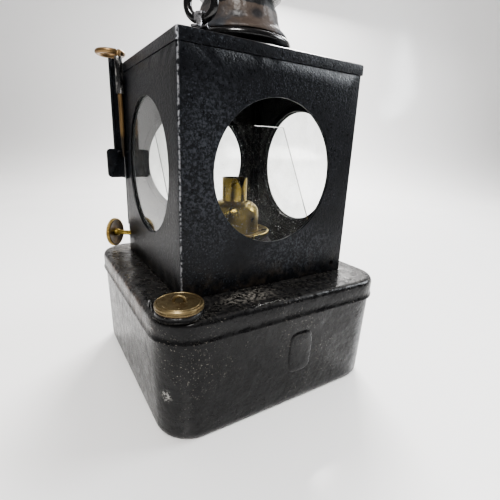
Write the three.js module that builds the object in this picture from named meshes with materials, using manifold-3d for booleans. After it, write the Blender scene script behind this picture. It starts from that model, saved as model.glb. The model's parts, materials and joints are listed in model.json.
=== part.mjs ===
// Railway hand lamp: square oil reservoir, four-window sheet case, hinged rear
// door with a drop pin, burner with side spindle, chimney and bail handle.
// Millimetres, +Z up, origin at the middle of the reservoir's underside, front -Y.
import * as THREE from 'three';
import { mergeVertices } from 'three/addons/utils/BufferGeometryUtils.js';
import Module from 'manifold-3d';

const wasm = await Module();
wasm.setup();

const GAP = 0.3;            // clearance left between touching pieces
const SHEET = 1.2;          // tinplate and glass-clip thickness
const DECK = 75.5;          // height of the reservoir's deck

const FONT = { half: 77.9, corner: 21, taper: 1.3, fillet: 6.2, rim: 13.3, rimOut: 1.1, bead: 0.5 };
const CASE = { x0: -58.9, x1: 61.1, y0: -52.6, y1: 59.4, top: DECK + 127.0, lip: 6 };
const WINDOW = { r: 40.7, z: DECK + 68.1, x: 0.9, y: 3.4 };
const ROOF = { over: 0.4, skirt: 6.2, edge: DECK + 133.3, slope: 0.28, flue: 23 };
const PANE = { w: 100, h: 104, t: 1.6, z0: DECK + 16 };
const BEZEL = { inner: 41.2, outer: 46, t: 1.5 };
const LOOSE = { x0: -51.5, x1: 48.5, len: 110.5, foot: -46.9, lean: 29.6 };
const BURNER = { x: 0.8, y: -2.6, tube: 8.6, top: DECK + 61 };
const STACK = { x: 0.8, y: -2.6 };
const FILLER = { x: -64.5, y: -64.5, r: 12.6, plug: 8.3 };
const KNOB = { x: -68.1, y: 65.8, z: DECK + 13.2, r: 10.75, t: 3.0 };
const SPINDLE = { r: 1.75, wheel: 3.0, miss: 2.35 };
const WICK = { w: 9, t: 2.2, shift: 2.0, z0: DECK + 4, z1: DECK + 57.5 };
const PIN = { x: -61.9, y: 47.9, r: 1.65, z0: DECK + 71, z1: DECK + 137.0 };
const RING = { x: -65.2, y: 55.3, r: 8.1, wire: 1.65, z: DECK + 139.0 };
const HINGE = { x: 64.1, y: 60.4, pin: 1.2, bore: 1.26, r: 2.6 };
const DOOR = { y0: 59.7, z0: DECK + 0.8, z1: DECK + 126.6 };
const BAIL = { x: -40.4, y: -37.6, wire: 2.1, eye: 7.3, axis: DECK + 148.9, rise: 76, splay: 0 };
const STAPLE = { w: 4, t: 1.2, top: DECK + 145.3, half: 3.9 };

const PAINT = { color: 0x17181b, roughness: 0.5, metalness: 0.3 };
const ENAMEL = { color: 0x141416, roughness: 0.35, metalness: 0.2 };
const BRASS = { color: 0xa98a45, roughness: 0.35, metalness: 0.9 };
const PATINA = { color: 0x4a3c26, roughness: 0.5, metalness: 0.8 };
const SOOT = { color: 0x4d4a49, roughness: 0.5, metalness: 0.5 };
const GLASS = { color: 0xdfe6e4, roughness: 0.08, metalness: 0.0, transparent: true, opacity: 0.35 };
const STEEL = { color: 0x8f9092, roughness: 0.4, metalness: 0.9 };
const COTTON = { color: 0xcfc6b0, roughness: 0.95, metalness: 0.0 };
const CORK = { color: 0x5d4630, roughness: 0.9, metalness: 0.0 };

// ---- closed-body helpers -------------------------------------------------

// Turn the triangles of a closed body to face outward.
function faceOut(positions, index) {
  let volume = 0;
  const a = new THREE.Vector3();
  const b = new THREE.Vector3();
  const c = new THREE.Vector3();
  for (let i = 0; i < index.length; i += 3) {
    a.fromArray(positions, index[i] * 3);
    b.fromArray(positions, index[i + 1] * 3);
    c.fromArray(positions, index[i + 2] * 3);
    volume += a.dot(b.cross(c));
  }
  if (volume < 0) {
    for (let i = 0; i < index.length; i += 3) {
      const keep = index[i + 1];
      index[i + 1] = index[i + 2];
      index[i + 2] = keep;
    }
  }
}

function bodyFrom(positions, index) {
  faceOut(positions, index);
  const geometry = new THREE.BufferGeometry();
  geometry.setAttribute('position', new THREE.Float32BufferAttribute(positions, 3));
  geometry.setIndex(index);
  return geometry;
}

// Stitch rings of equal point count; ends are fanned to a point or joined to each other.
function loft(rings, looped = false) {
  const n = rings[0].length;
  const positions = [];
  const index = [];
  for (const ring of rings) {
    for (const p of ring) positions.push(p.x, p.y, p.z);
  }
  const spans = looped ? rings.length : rings.length - 1;
  for (let k = 0; k < spans; k += 1) {
    const low = k * n;
    const high = ((k + 1) % rings.length) * n;
    for (let i = 0; i < n; i += 1) {
      const j = (i + 1) % n;
      index.push(low + i, low + j, high + j);
      index.push(low + i, high + j, high + i);
    }
  }
  if (!looped) {
    for (const k of [0, rings.length - 1]) {
      const middle = new THREE.Vector3();
      for (const p of rings[k]) middle.add(p);
      middle.multiplyScalar(1 / n);
      const hub = positions.length / 3;
      positions.push(middle.x, middle.y, middle.z);
      for (let i = 0; i < n; i += 1) {
        const j = (i + 1) % n;
        if (k === 0) index.push(hub, k * n + j, k * n + i);
        else index.push(hub, k * n + i, k * n + j);
      }
    }
  }
  return bodyFrom(positions, index);
}

// Revolve [radius, z] pairs about a vertical axis; looped closes the section on itself.
function revolve(profile, x, y, segments = 36, looped = false) {
  const rings = profile.map(([r, z]) => {
    const ring = [];
    for (let i = 0; i < segments; i += 1) {
      const a = (i / segments) * Math.PI * 2;
      ring.push(new THREE.Vector3(x + r * Math.cos(a), y + r * Math.sin(a), z));
    }
    return ring;
  });
  return loft(rings, looped);
}

// Square ring with rounded corners at height z.
function squareRing(half, corner, z, steps = 5) {
  const ring = [];
  for (let q = 0; q < 4; q += 1) {
    const turn = (q * Math.PI) / 2;
    for (let i = 0; i <= steps; i += 1) {
      const a = (i / steps) * (Math.PI / 2);
      const px = half - corner + corner * Math.cos(a);
      const py = half - corner + corner * Math.sin(a);
      const c = Math.cos(turn);
      const s = Math.sin(turn);
      ring.push(new THREE.Vector3(px * c - py * s, px * s + py * c, z));
    }
  }
  return ring;
}

function rectRing(x0, x1, y0, y1, z) {
  return [
    new THREE.Vector3(x0, y0, z),
    new THREE.Vector3(x1, y0, z),
    new THREE.Vector3(x1, y1, z),
    new THREE.Vector3(x0, y1, z),
  ];
}

// Round wire along points; side is the direction square to the wire's plane.
function wire(points, side, r, looped = false, segments = 10) {
  const rings = points.map((p, k) => {
    const last = points.length - 1;
    const before = points[looped ? (k + last) % points.length : Math.max(k - 1, 0)];
    const after = points[looped ? (k + 1) % points.length : Math.min(k + 1, last)];
    const along = after.clone().sub(before).normalize();
    const out = side.clone().cross(along).normalize();
    const ring = [];
    for (let i = 0; i < segments; i += 1) {
      const a = (i / segments) * Math.PI * 2;
      ring.push(p.clone()
        .addScaledVector(out, r * Math.cos(a))
        .addScaledVector(side, r * Math.sin(a)));
    }
    return ring;
  });
  return loft(rings, looped);
}

function box(x0, x1, y0, y1, z0, z1) {
  return loft([rectRing(x0, x1, y0, y1, z0), rectRing(x0, x1, y0, y1, z1)]);
}

// Round bar from one point to another.
function bar(from, to, r, segments = 24) {
  const along = to.clone().sub(from);
  const side = Math.abs(along.z) > 0.9 * along.length()
    ? new THREE.Vector3(0, 1, 0)
    : new THREE.Vector3(0, 0, 1);
  side.cross(along).normalize();
  return wire([from, to], side, r, false, segments);
}

function solid(geometry) {
  const plain = new THREE.BufferGeometry();
  plain.setAttribute('position', geometry.getAttribute('position').clone());
  if (geometry.index) plain.setIndex(geometry.index.clone());
  const merged = mergeVertices(plain, 1e-5);
  return new wasm.Manifold(new wasm.Mesh({
    numProp: 3,
    vertProperties: new Float32Array(merged.getAttribute('position').array),
    triVerts: new Uint32Array(merged.index.array),
  }));
}

function geometryOf(manifold) {
  const mesh = manifold.getMesh();
  const geometry = new THREE.BufferGeometry();
  geometry.setAttribute('position', new THREE.Float32BufferAttribute(mesh.vertProperties, 3));
  geometry.setIndex(Array.from(mesh.triVerts));
  return geometry;
}

// First geometry plus the added ones, less the taken ones.
function carve(base, added, taken) {
  let result = solid(base);
  for (const extra of added) result = result.add(solid(extra));
  for (const hole of taken) result = result.subtract(solid(hole));
  return geometryOf(result);
}

function vec(x, y, z) {
  return new THREE.Vector3(x, y, z);
}

function addMesh(group, name, geometry, look) {
  const shaded = geometry.index ? geometry.toNonIndexed() : geometry;
  shaded.computeVertexNormals();
  const mesh = new THREE.Mesh(shaded, new THREE.MeshStandardMaterial(look));
  mesh.name = name;
  group.add(mesh);
}

// ---- oil reservoir -------------------------------------------------------

function fontShell() {
  const f = FONT;
  const low = f.half - f.taper;
  const wall = DECK - f.rim;
  const rings = [
    squareRing(low - f.fillet, f.corner - f.fillet, 0),
    squareRing(low - f.fillet * 0.4, f.corner - f.fillet * 0.4, f.fillet * 0.25),
    squareRing(low, f.corner, f.fillet),
    squareRing(f.half, f.corner, wall - GAP),
    squareRing(f.half - SHEET, f.corner - SHEET, wall - GAP),
    squareRing(low - SHEET, f.corner - SHEET, f.fillet),
    squareRing(low - f.fillet, f.corner - f.fillet, SHEET),
  ];
  const plate = cartouche();
  return carve(loft(rings), [plate], []);
}

// Blank raised plate pressed into the front wall.
function cartouche() {
  const points = [];
  for (let i = 0; i < 28; i += 1) {
    const a = (i / 28) * Math.PI * 2;
    const c = Math.cos(a);
    const s = Math.sin(a);
    points.push([8 + 8.5 * Math.sign(c) * Math.sqrt(Math.abs(c)),
      38 + 13.5 * Math.sign(s) * Math.sqrt(Math.abs(s))]);
  }
  const face = (z) => -(FONT.half - FONT.taper + (FONT.taper * z) / (DECK - FONT.rim));
  const ring = (grow, out) => points.map(([x, z]) => vec(8 + (x - 8) * grow, face(z) - out, 38 + (z - 38) * grow));
  return loft([ring(1, -0.6), ring(1, 0.2), ring(0.9, 0.8)]);
}

function fontDeck() {
  const f = FONT;
  const out = f.half + f.rimOut;
  const low = DECK - f.rim;
  const inner = out - SHEET;
  const rings = [
    squareRing(out, f.corner + f.rimOut, low),
    squareRing(out + f.bead, f.corner + f.rimOut + f.bead, low + 0.9),
    squareRing(out, f.corner + f.rimOut, low + 2),
    squareRing(out, f.corner + f.rimOut, DECK - 3),
    squareRing(out - 0.9, f.corner, DECK - 0.9),
    squareRing(out - 3, f.corner - 2, DECK),
    squareRing(out - 3, f.corner - 2, DECK - SHEET),
    squareRing(inner - 0.4, f.corner - 0.4, DECK - 3),
    squareRing(inner - 0.05, f.corner - 0.05, low),
  ];
  const rim = loft(rings, true);
  const sheet = loft([
    squareRing(out - 2.6, f.corner - 2, DECK - SHEET),
    squareRing(out - 2.6, f.corner - 2, DECK),
  ]);
  const filler = bar(vec(FILLER.x, FILLER.y, DECK - 5), vec(FILLER.x, FILLER.y, DECK + 5), 9, 32);
  const well = bar(vec(BURNER.x, BURNER.y, DECK - 5), vec(BURNER.x, BURNER.y, DECK + 5), 18, 32);
  return carve(rim, [sheet], [filler, well]);
}

// Upstand soldered to the deck that the case drops over.
function footFrame() {
  const c = CASE;
  const off = SHEET + GAP;
  const outer = box(c.x0 + off, c.x1 - off, c.y0 + off, c.y1 - off, DECK + GAP, DECK + 10);
  const inner = box(c.x0 + off + SHEET, c.x1 - off - SHEET, c.y0 + off + SHEET, c.y1 - off - SHEET,
    DECK - 1, DECK + 12);
  const screw = bar(vec(52.2, c.y0 - 2, DECK + 6.3), vec(52.2, c.y0 + 8, DECK + 6.3), 1.3, 16);
  return carve(outer, [], [inner, screw]);
}

// ---- filler --------------------------------------------------------------

function fillerNeck() {
  const r = FILLER.r - 0.1;
  const z = DECK + 0.3;
  return revolve([[8.6, z], [r - 0.6, z], [r, z + 0.6], [r, z + 1.8], [r - 0.4, z + 2.2], [8.6, z + 2.2]],
    FILLER.x, FILLER.y, 28, true);
}

function capSeal() {
  const z = DECK + 2.6;
  return revolve([[8.6, z], [12, z], [12, z + 0.5], [8.6, z + 0.5]], FILLER.x, FILLER.y, 24, true);
}

function fillerCap() {
  const z = DECK + 3.2;
  const p = FILLER.plug;
  const disc = revolve([[p - 0.6, DECK - 4], [p, DECK - 3.4], [p, z], [12.3, z], [12.3, z + 1], [12.6, z + 1.3],
    [12.6, z + 2.5], [12.1, z + 3.1]], FILLER.x, FILLER.y, 28);
  return disc;
}

function capEye() {
  const z = DECK + 6.3 + GAP;
  const points = [];
  for (let i = 0; i <= 8; i += 1) {
    const a = Math.PI * (i / 8);
    points.push(vec(FILLER.x + 3.1 * Math.cos(a) * 0.85, FILLER.y - 3.1 * Math.cos(a) * 0.5, z + 2.6 * Math.sin(a)));
  }
  const side = vec(0.5, 0.85, 0).normalize();
  return wire(points, side, 0.9, false, 6);
}

function neckStaple() {
  const points = [];
  const cx = -76.2;
  const cy = -54.6;
  for (let i = 0; i <= 10; i += 1) {
    const a = Math.PI * (i / 10);
    points.push(vec(cx, cy + 2.9 * Math.cos(a), DECK + 0.3 + 4.2 * Math.sin(a)));
  }
  return wire(points, vec(1, 0, 0), 0.7, false, 6);
}

// ---- burner --------------------------------------------------------------

function spindleAxis() {
  const along = vec(KNOB.x - BURNER.x, KNOB.y - BURNER.y, 0).normalize();
  const across = vec(-along.y, along.x, 0);
  const inner = vec(BURNER.x, BURNER.y, DECK + 16.5).addScaledVector(across, -SPINDLE.miss);
  const outer = vec(KNOB.x, KNOB.y, KNOB.z);
  const axis = outer.clone().sub(inner).normalize();
  return { along, across, inner, outer, axis };
}

function burnerSeat() {
  const z = DECK;
  const t = 1.0;
  const outer = [[34, z + GAP], [33.4, z + 5], [32, z + 10], [28.5, z + 15], [25.5, z + 18.5], [25, z + 21.7]];
  const inner = outer.map(([r, h]) => [r - t, h]).reverse();
  inner[0] = [12, z + 21.7];
  inner.splice(1, 0, [12, z + 20.7], [24, z + 20.7]);
  const shell = revolve([...outer, ...inner], BURNER.x, BURNER.y, 28, true);
  const s = spindleAxis();
  const hole = bar(s.inner.clone().addScaledVector(s.axis, 18), s.inner.clone().addScaledVector(s.axis, 45),
    SPINDLE.r + 0.5, 20);
  return carve(shell, [], [hole]);
}

function burnerFlange() {
  const z = DECK + 22;
  return revolve([[10, z], [24.8, z], [25.5, z + 0.9], [25.5, z + 2.2], [24.6, z + 2.8], [20, z + 2.1], [10, z + 2.1]],
    BURNER.x, BURNER.y, 28, true);
}

function burnerDome() {
  const z = DECK + 25;
  return revolve([[17.2, z - 0.4], [17.5, z + 1], [17.5, z + 12], [16.6, z + 15.6], [13.6, z + 18.6], [9.6, z + 20],
    [8.8, z + 20], [8.8, z + 19], [13, z + 17.6], [15.7, z + 14.8], [16.5, z + 12], [16.4, z - 0.4]],
  BURNER.x, BURNER.y, 28, true);
}

function wickTube() {
  const z0 = DECK + 24.6;
  const tube = revolve([[7.8, z0], [BURNER.tube, z0], [BURNER.tube, BURNER.top], [7.8, BURNER.top]],
    BURNER.x, BURNER.y, 24, true);
  const notch = loft([
    [vec(-3.4, -3, BURNER.top + 0.1), vec(4, -3, BURNER.top + 0.1), vec(0.3, -3, BURNER.top - 7)],
    [vec(-3.4, -12, BURNER.top + 0.1), vec(4, -12, BURNER.top + 0.1), vec(0.3, -12, BURNER.top - 7)],
  ].map((ring) => ring.map((p) => p.add(vec(BURNER.x, BURNER.y, 0)))));
  return carve(tube, [], [notch]);
}

function wick() {
  const s = spindleAxis();
  const middle = vec(BURNER.x, BURNER.y, 0).addScaledVector(s.across, WICK.shift);
  const ring = (z, shrink) => [[-1, -1], [1, -1], [1, 1], [-1, 1]].map(([a, b]) => middle.clone()
    .addScaledVector(s.along, (a * WICK.w * shrink) / 2)
    .addScaledVector(s.across, (b * WICK.t) / 2)
    .setZ(z));
  return loft([ring(WICK.z0, 1), ring(WICK.z1, 1)]);
}

function wickSpindle() {
  const s = spindleAxis();
  return bar(s.inner.clone().addScaledVector(s.axis, -3.5), s.outer.clone().addScaledVector(s.axis, -KNOB.t / 2 - GAP),
    SPINDLE.r, 16);
}

function spurWheel() {
  const s = spindleAxis();
  const from = s.inner.clone().addScaledVector(s.axis, -7.5);
  const rings = [];
  for (const [r, d] of [[2.2, 0], [3, 0.6], [3, 2.8], [2.2, 3.6]]) {
    const ring = [];
    const up = vec(0, 0, 1);
    const out = up.clone().cross(s.axis).normalize();
    const top = s.axis.clone().cross(out).normalize();
    for (let i = 0; i < 16; i += 1) {
      const a = (i / 16) * Math.PI * 2;
      ring.push(from.clone().addScaledVector(s.axis, d)
        .addScaledVector(out, r * Math.cos(a)).addScaledVector(top, r * Math.sin(a)));
    }
    rings.push(ring);
  }
  return loft(rings);
}

function knob() {
  const s = spindleAxis();
  const out = vec(0, 0, 1).cross(s.axis).normalize();
  const top = s.axis.clone().cross(out).normalize();
  const rings = [];
  for (const [r, d] of [[KNOB.r - 0.5, -1.5], [KNOB.r, -1.1], [KNOB.r, 1.1], [KNOB.r - 0.5, 1.5], [KNOB.r - 1.6, 1.5],
    [KNOB.r - 1.8, 1.0]]) {
    const ring = [];
    for (let i = 0; i < 28; i += 1) {
      const a = (i / 28) * Math.PI * 2;
      ring.push(s.outer.clone().addScaledVector(s.axis, d)
        .addScaledVector(out, r * Math.cos(a)).addScaledVector(top, r * Math.sin(a)));
    }
    rings.push(ring);
  }
  return loft(rings);
}

// Short collar round the spindle, soldered inside the case's rear corner.
function spindleBush() {
  const s = spindleAxis();
  const from = s.outer.clone().addScaledVector(s.axis, -29);
  const to = s.outer.clone().addScaledVector(s.axis, -22);
  return carve(bar(from, to, 3.6, 16), [], [
    bar(from.clone().addScaledVector(s.axis, -3), to.clone().addScaledVector(s.axis, 3), SPINDLE.r + 0.05, 16),
  ]);
}

// ---- case ----------------------------------------------------------------

// Round hole through a wall, along x or y.
function windowHole(axis, at, r = WINDOW.r) {
  const z = WINDOW.z;
  return axis === 'y'
    ? bar(vec(WINDOW.x, at - 4, z), vec(WINDOW.x, at + 4, z), r, 36)
    : bar(vec(at - 4, WINDOW.y, z), vec(at + 4, WINDOW.y, z), r, 36);
}

function caseWalls() {
  const c = CASE;
  const z0 = DECK + GAP;
  const outer = box(c.x0, c.x1, c.y0, c.y1, z0, c.top);
  const room = box(c.x0 + SHEET, c.x1 - SHEET, c.y0 + SHEET, c.y1 - SHEET, DECK - 2, c.top + 2);
  const doorway = box(c.x0 + c.lip, c.x1 - c.lip, c.y1 - 3, c.y1 + 3, DECK - 2, c.top + 2);
  const screw = bar(vec(52.2, c.y0 - 2, DECK + 6.3), vec(52.2, c.y0 + 3, DECK + 6.3), 1.6, 16);
  const s = spindleAxis();
  const slot = bar(s.outer.clone().addScaledVector(s.axis, -20), s.outer.clone().addScaledVector(s.axis, -3),
    SPINDLE.r + 0.6, 20);
  return carve(outer, [], [room, doorway, screw, slot,
    windowHole('y', c.y0), windowHole('x', c.x0), windowHole('x', c.x1)]);
}

// Pyramid-topped block the roof sheet is cut from, grown outward by d.
function roofBlock(d) {
  const c = CASE;
  const o = ROOF.over + d;
  const x0 = c.x0 - o;
  const x1 = c.x1 + o;
  const y0 = c.y0 - o;
  const y1 = c.y1 + 2.0 + o;
  const inset = 42;
  const rise = inset * ROOF.slope;
  const lift = d * 1.04;
  return loft([
    rectRing(x0, x1, y0, y1, ROOF.edge - ROOF.skirt),
    rectRing(x0, x1, y0, y1, ROOF.edge - 0.8 + lift),
    rectRing(x0 + 0.8, x1 - 0.8, y0 + 0.8, y1 - 0.8, ROOF.edge + lift),
    rectRing(x0 + inset, x1 - inset, y0 + inset, y1 - inset, ROOF.edge + rise + lift),
  ]);
}

function caseRoof() {
  const hollow = roofBlock(-SHEET);
  const flue = bar(vec(STACK.x, STACK.y, ROOF.edge - 9), vec(STACK.x, STACK.y, ROOF.edge + 30), ROOF.flue, 28);
  const under = box(CASE.x0 + 0.8, CASE.x1 - 0.8, CASE.y0 + 0.8, CASE.y1 + 1.2, ROOF.edge - 9, ROOF.edge - 5);
  return carve(roofBlock(0), [], [hollow, under, flue]);
}

// Ring that clamps a pane behind its window.
function bezel(axis, near, far) {
  const z = WINDOW.z;
  const at = (t) => (axis === 'y' ? vec(WINDOW.x, t, z) : vec(t, WINDOW.y, z));
  const beyond = Math.sign(far - near);
  return carve(bar(at(near), at(far), BEZEL.outer, 32), [], [
    bar(at(near - beyond), at(far + beyond), BEZEL.inner, 32),
  ]);
}

function pane(axis, near, far) {
  const half = PANE.w / 2;
  const z1 = PANE.z0 + PANE.h;
  return axis === 'y'
    ? box(WINDOW.x - half, WINDOW.x + half, near, far, PANE.z0, z1)
    : box(near, far, WINDOW.y - half, WINDOW.y + half, PANE.z0, z1);
}

// Front glass, out of its place and leaning back against the burner tube.
function loosePane() {
  const sheet = box(LOOSE.x0, LOOSE.x1, 0, PANE.t, 0, LOOSE.len);
  sheet.rotateX(-THREE.MathUtils.degToRad(LOOSE.lean));
  sheet.translate(0, LOOSE.foot, DECK + 1.2);
  return sheet;
}

// ---- rear door -----------------------------------------------------------

function doorPanel() {
  const c = CASE;
  const y0 = DOOR.y0;
  const y1 = DOOR.y0 + SHEET;
  const lipX = c.x0 - GAP - SHEET;
  const sheet = box(c.x0, c.x1, y0, y1, DOOR.z0, DOOR.z1);
  const wrap = box(lipX, c.x0 + 0.5, y0, y1, DECK + 56, DOOR.z1);
  const lip = box(lipX, lipX + SHEET, c.y1 - 7.6, y1, DECK + 56, DOOR.z1);
  const wing = box(c.x0 - 6.2, lipX + 0.4, y1 - 3.4, y1 - 2.4, DECK + 79, DOOR.z1);
  const roll = bar(vec(c.x0 - 6.2, y1 - 2.9, DECK + 79), vec(c.x0 - 6.2, y1 - 2.9, DECK + 136.5), 1.2, 12);
  const upper = box(c.x0 - 6.2, c.x0 - 2.2, y1 - 3.4, y1 - 2.4, DECK + 126, DECK + 136.5);
  const notch = box(c.x0 - 4, c.x0 + 9, y0 - 1, y1 + 1, DECK - 1, DECK + 20);
  return carve(sheet, [wrap, lip, wing, roll, upper], [windowHole('y', y0), notch]);
}

// Latch tab on the door's lip, forked to straddle the drop pin.
function doorTab() {
  const x1 = CASE.x0 - GAP - SHEET - GAP;
  const x0 = CASE.x0 - 13.5;
  const y0 = CASE.y1 - 6.6;
  const plate = loft([y0, y0 + 1.6].map((y) => [
    vec(x0 + 2.5, y, DECK + 57), vec(x1, y, DECK + 57), vec(x1, y, DECK + 77),
    vec(x0 + 2.5, y, DECK + 77), vec(x0, y, DECK + 74.5), vec(x0, y, DECK + 59.5),
  ]));
  const shelf = box(PIN.x - 4.4, x1, PIN.y - 1, y0 + 0.8, DECK + 73.4, DECK + 76.4);
  const fork = box(PIN.x - 2.6, PIN.x + 2.6, PIN.y - 2, PIN.y + 2.6, DECK + 72, DECK + 78);
  const back = bar(vec(PIN.x, PIN.y + 1, DECK + 72), vec(PIN.x, PIN.y + 1, DECK + 78), 2.6, 20);
  return carve(plate, [shelf], [fork, back]);
}

// Knuckle with its leaf; the leaf lies on the case side or across the door.
function knuckle(z0, z1, onDoor) {
  const barrel = bar(vec(HINGE.x, HINGE.y, z0), vec(HINGE.x, HINGE.y, z1), HINGE.r, 16);
  const leaf = onDoor
    ? box(HINGE.x - 16, HINGE.x, DOOR.y0 + SHEET + GAP, DOOR.y0 + SHEET + GAP + 1, z0, z1)
    : box(CASE.x1 + GAP, CASE.x1 + GAP + 1, HINGE.y - 14, HINGE.y, z0, z1);
  const bore = bar(vec(HINGE.x, HINGE.y, z0 - 1), vec(HINGE.x, HINGE.y, z1 + 1), HINGE.bore, 16);
  return carve(barrel, [leaf], [bore]);
}

function hingePin() {
  return bar(vec(HINGE.x, HINGE.y, DECK + 11), vec(HINGE.x, HINGE.y, DECK + 117), HINGE.pin, 16);
}

// ---- drop pin ------------------------------------------------------------

function dropRod() {
  const tip = PIN.z0;
  return revolve([[0.7, tip], [PIN.r, tip + 2], [PIN.r, PIN.z1 - 0.3]], PIN.x, PIN.y, 16);
}

function dropRing() {
  const points = [];
  for (let i = 0; i < 24; i += 1) {
    const a = (i / 24) * Math.PI * 2;
    points.push(vec(RING.x + RING.r * Math.cos(a), RING.y + RING.r * Math.sin(a), RING.z));
  }
  return wire(points, vec(0, 0, 1), RING.wire, true, 8);
}

function rodTube() {
  const z0 = DECK + 113.5;
  const z1 = DECK + 136.2;
  return revolve([[PIN.r + 0.06, z0], [2.5, z0], [2.5, z1], [PIN.r + 0.06, z1]], PIN.x, PIN.y, 20, true);
}

// ---- chimney -------------------------------------------------------------

function chimneyRing() {
  const z = DECK;
  const ring = revolve([[24, z + 135], [31.4, z + 135], [32.6, z + 141.4], [33, z + 143], [32.4, z + 144.6], [30.8, z + 145.2],
    [24, z + 145.2]], STACK.x, STACK.y, 28, true);
  return carve(ring, [], [roofBlock(GAP)]);
}

// Section of a thin shell: the outer line, then the same line set in.
function shellSection(outer, t) {
  return [...outer, ...outer.map(([r, z]) => [r - t, z]).reverse()];
}

function chimneyDrum() {
  const z = DECK;
  const outer = [[31, z + 145.5], [31, z + 147], [27.5, z + 150], [25.4, z + 154], [24.5, z + 160], [21.5, z + 165],
    [20.4, z + 168]];
  return revolve(shellSection(outer, 1.1), STACK.x, STACK.y, 28, true);
}

function chimneyCowl() {
  const z = DECK;
  const outer = [[25.5, z + 168.3], [26, z + 170], [26, z + 180], [25.2, z + 181]];
  const inner = [[24.2, z + 181], [24.9, z + 180], [24.9, z + 170], [18.6, z + 169.4], [18.6, z + 168.3]];
  const band = revolve([...outer, ...inner], STACK.x, STACK.y, 28, true);
  const vents = [];
  for (let i = 0; i < 6; i += 1) {
    const a = ((i + 0.5) / 6) * Math.PI * 2;
    const way = vec(Math.cos(a), Math.sin(a), 0);
    const at = vec(STACK.x, STACK.y, z + 174.8);
    vents.push(bar(at.clone().addScaledVector(way, 20), at.clone().addScaledVector(way, 30), 2.6, 10));
  }
  return carve(band, [], vents);
}

function chimneyCap() {
  const z = DECK;
  const outer = [[27.6, z + 181.3], [27.8, z + 183], [24, z + 185.4], [12, z + 188.6], [2, z + 189.8]];
  const inner = [[2, z + 188.6], [12, z + 187.4], [23.4, z + 184.3], [26.4, z + 182.6], [26.4, z + 181.3]];
  return carve(revolve([...outer, ...inner], STACK.x, STACK.y, 28, true), [
    bar(vec(STACK.x, STACK.y, z + 188.6), vec(STACK.x, STACK.y, z + 189.8), 2.6, 20),
  ], []);
}

// ---- bail ----------------------------------------------------------------

function bailFrame() {
  const along = vec(STACK.x - BAIL.x, STACK.y - BAIL.y, 0);
  const reach = along.length();
  along.normalize();
  const across = vec(-along.y, along.x, 0);
  return { along, across, reach };
}

function bailHandle() {
  const f = bailFrame();
  const up = vec(0, 0, 1);
  const middle = vec(STACK.x, STACK.y, BAIL.axis);
  const start = BAIL.eye;
  const rise = BAIL.rise;
  const points = [];
  points.push(middle.clone().addScaledVector(f.along, -f.reach).addScaledVector(up, start));
  points.push(middle.clone().addScaledVector(f.along, -f.reach).addScaledVector(up, start + 10));
  for (let i = 0; i <= 14; i += 1) {
    const a = Math.PI * (1 - i / 14);
    points.push(middle.clone().addScaledVector(f.along, f.reach * Math.cos(a))
      .addScaledVector(up, 26 + (rise - 26) * Math.sin(a)));
  }
  points.push(middle.clone().addScaledVector(f.along, f.reach).addScaledVector(up, start + 10));
  points.push(middle.clone().addScaledVector(f.along, f.reach).addScaledVector(up, start));
  const hoop = wire(points, f.across, BAIL.wire, false, 8);
  const eyes = [-1, 1].map((side) => {
    const loop = [];
    const hub = middle.clone().addScaledVector(f.along, side * f.reach);
    for (let i = 0; i < 18; i += 1) {
      const a = (i / 18) * Math.PI * 2;
      loop.push(hub.clone().addScaledVector(f.across, BAIL.eye * Math.sin(a))
        .addScaledVector(up, BAIL.eye * Math.cos(a)));
    }
    return wire(loop, f.along, BAIL.wire, true, 8);
  });
  return carve(hoop, eyes, []);
}

// Sheet staple straddling a bail eye, feet turned out onto the roof.
function bailStaple(side) {
  const f = bailFrame();
  const s = STAPLE;
  const hub = vec(STACK.x, STACK.y, 0).addScaledVector(f.along, side * f.reach);
  const slab = (a0, a1, z0, z1, w) => loft([z0, z1].map((z) => [[a0, -w], [a1, -w], [a1, w], [a0, w]].map(([a, b]) =>
    hub.clone().addScaledVector(f.along, a).addScaledVector(f.across, b / 2).setZ(z))));
  const low = ROOF.edge;
  const block = slab(-s.half, s.half, low, s.top, s.w);
  const foot = slab(-s.half - 4, s.half + 4, low, ROOF.edge + 6.4, s.w + 1);
  const gap = slab(-s.half + s.t, s.half - s.t, low - 1, s.top - s.t, s.w + 4);
  return carve(block, [foot], [gap, roofBlock(GAP)]);
}

// ---- assembly ------------------------------------------------------------

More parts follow.
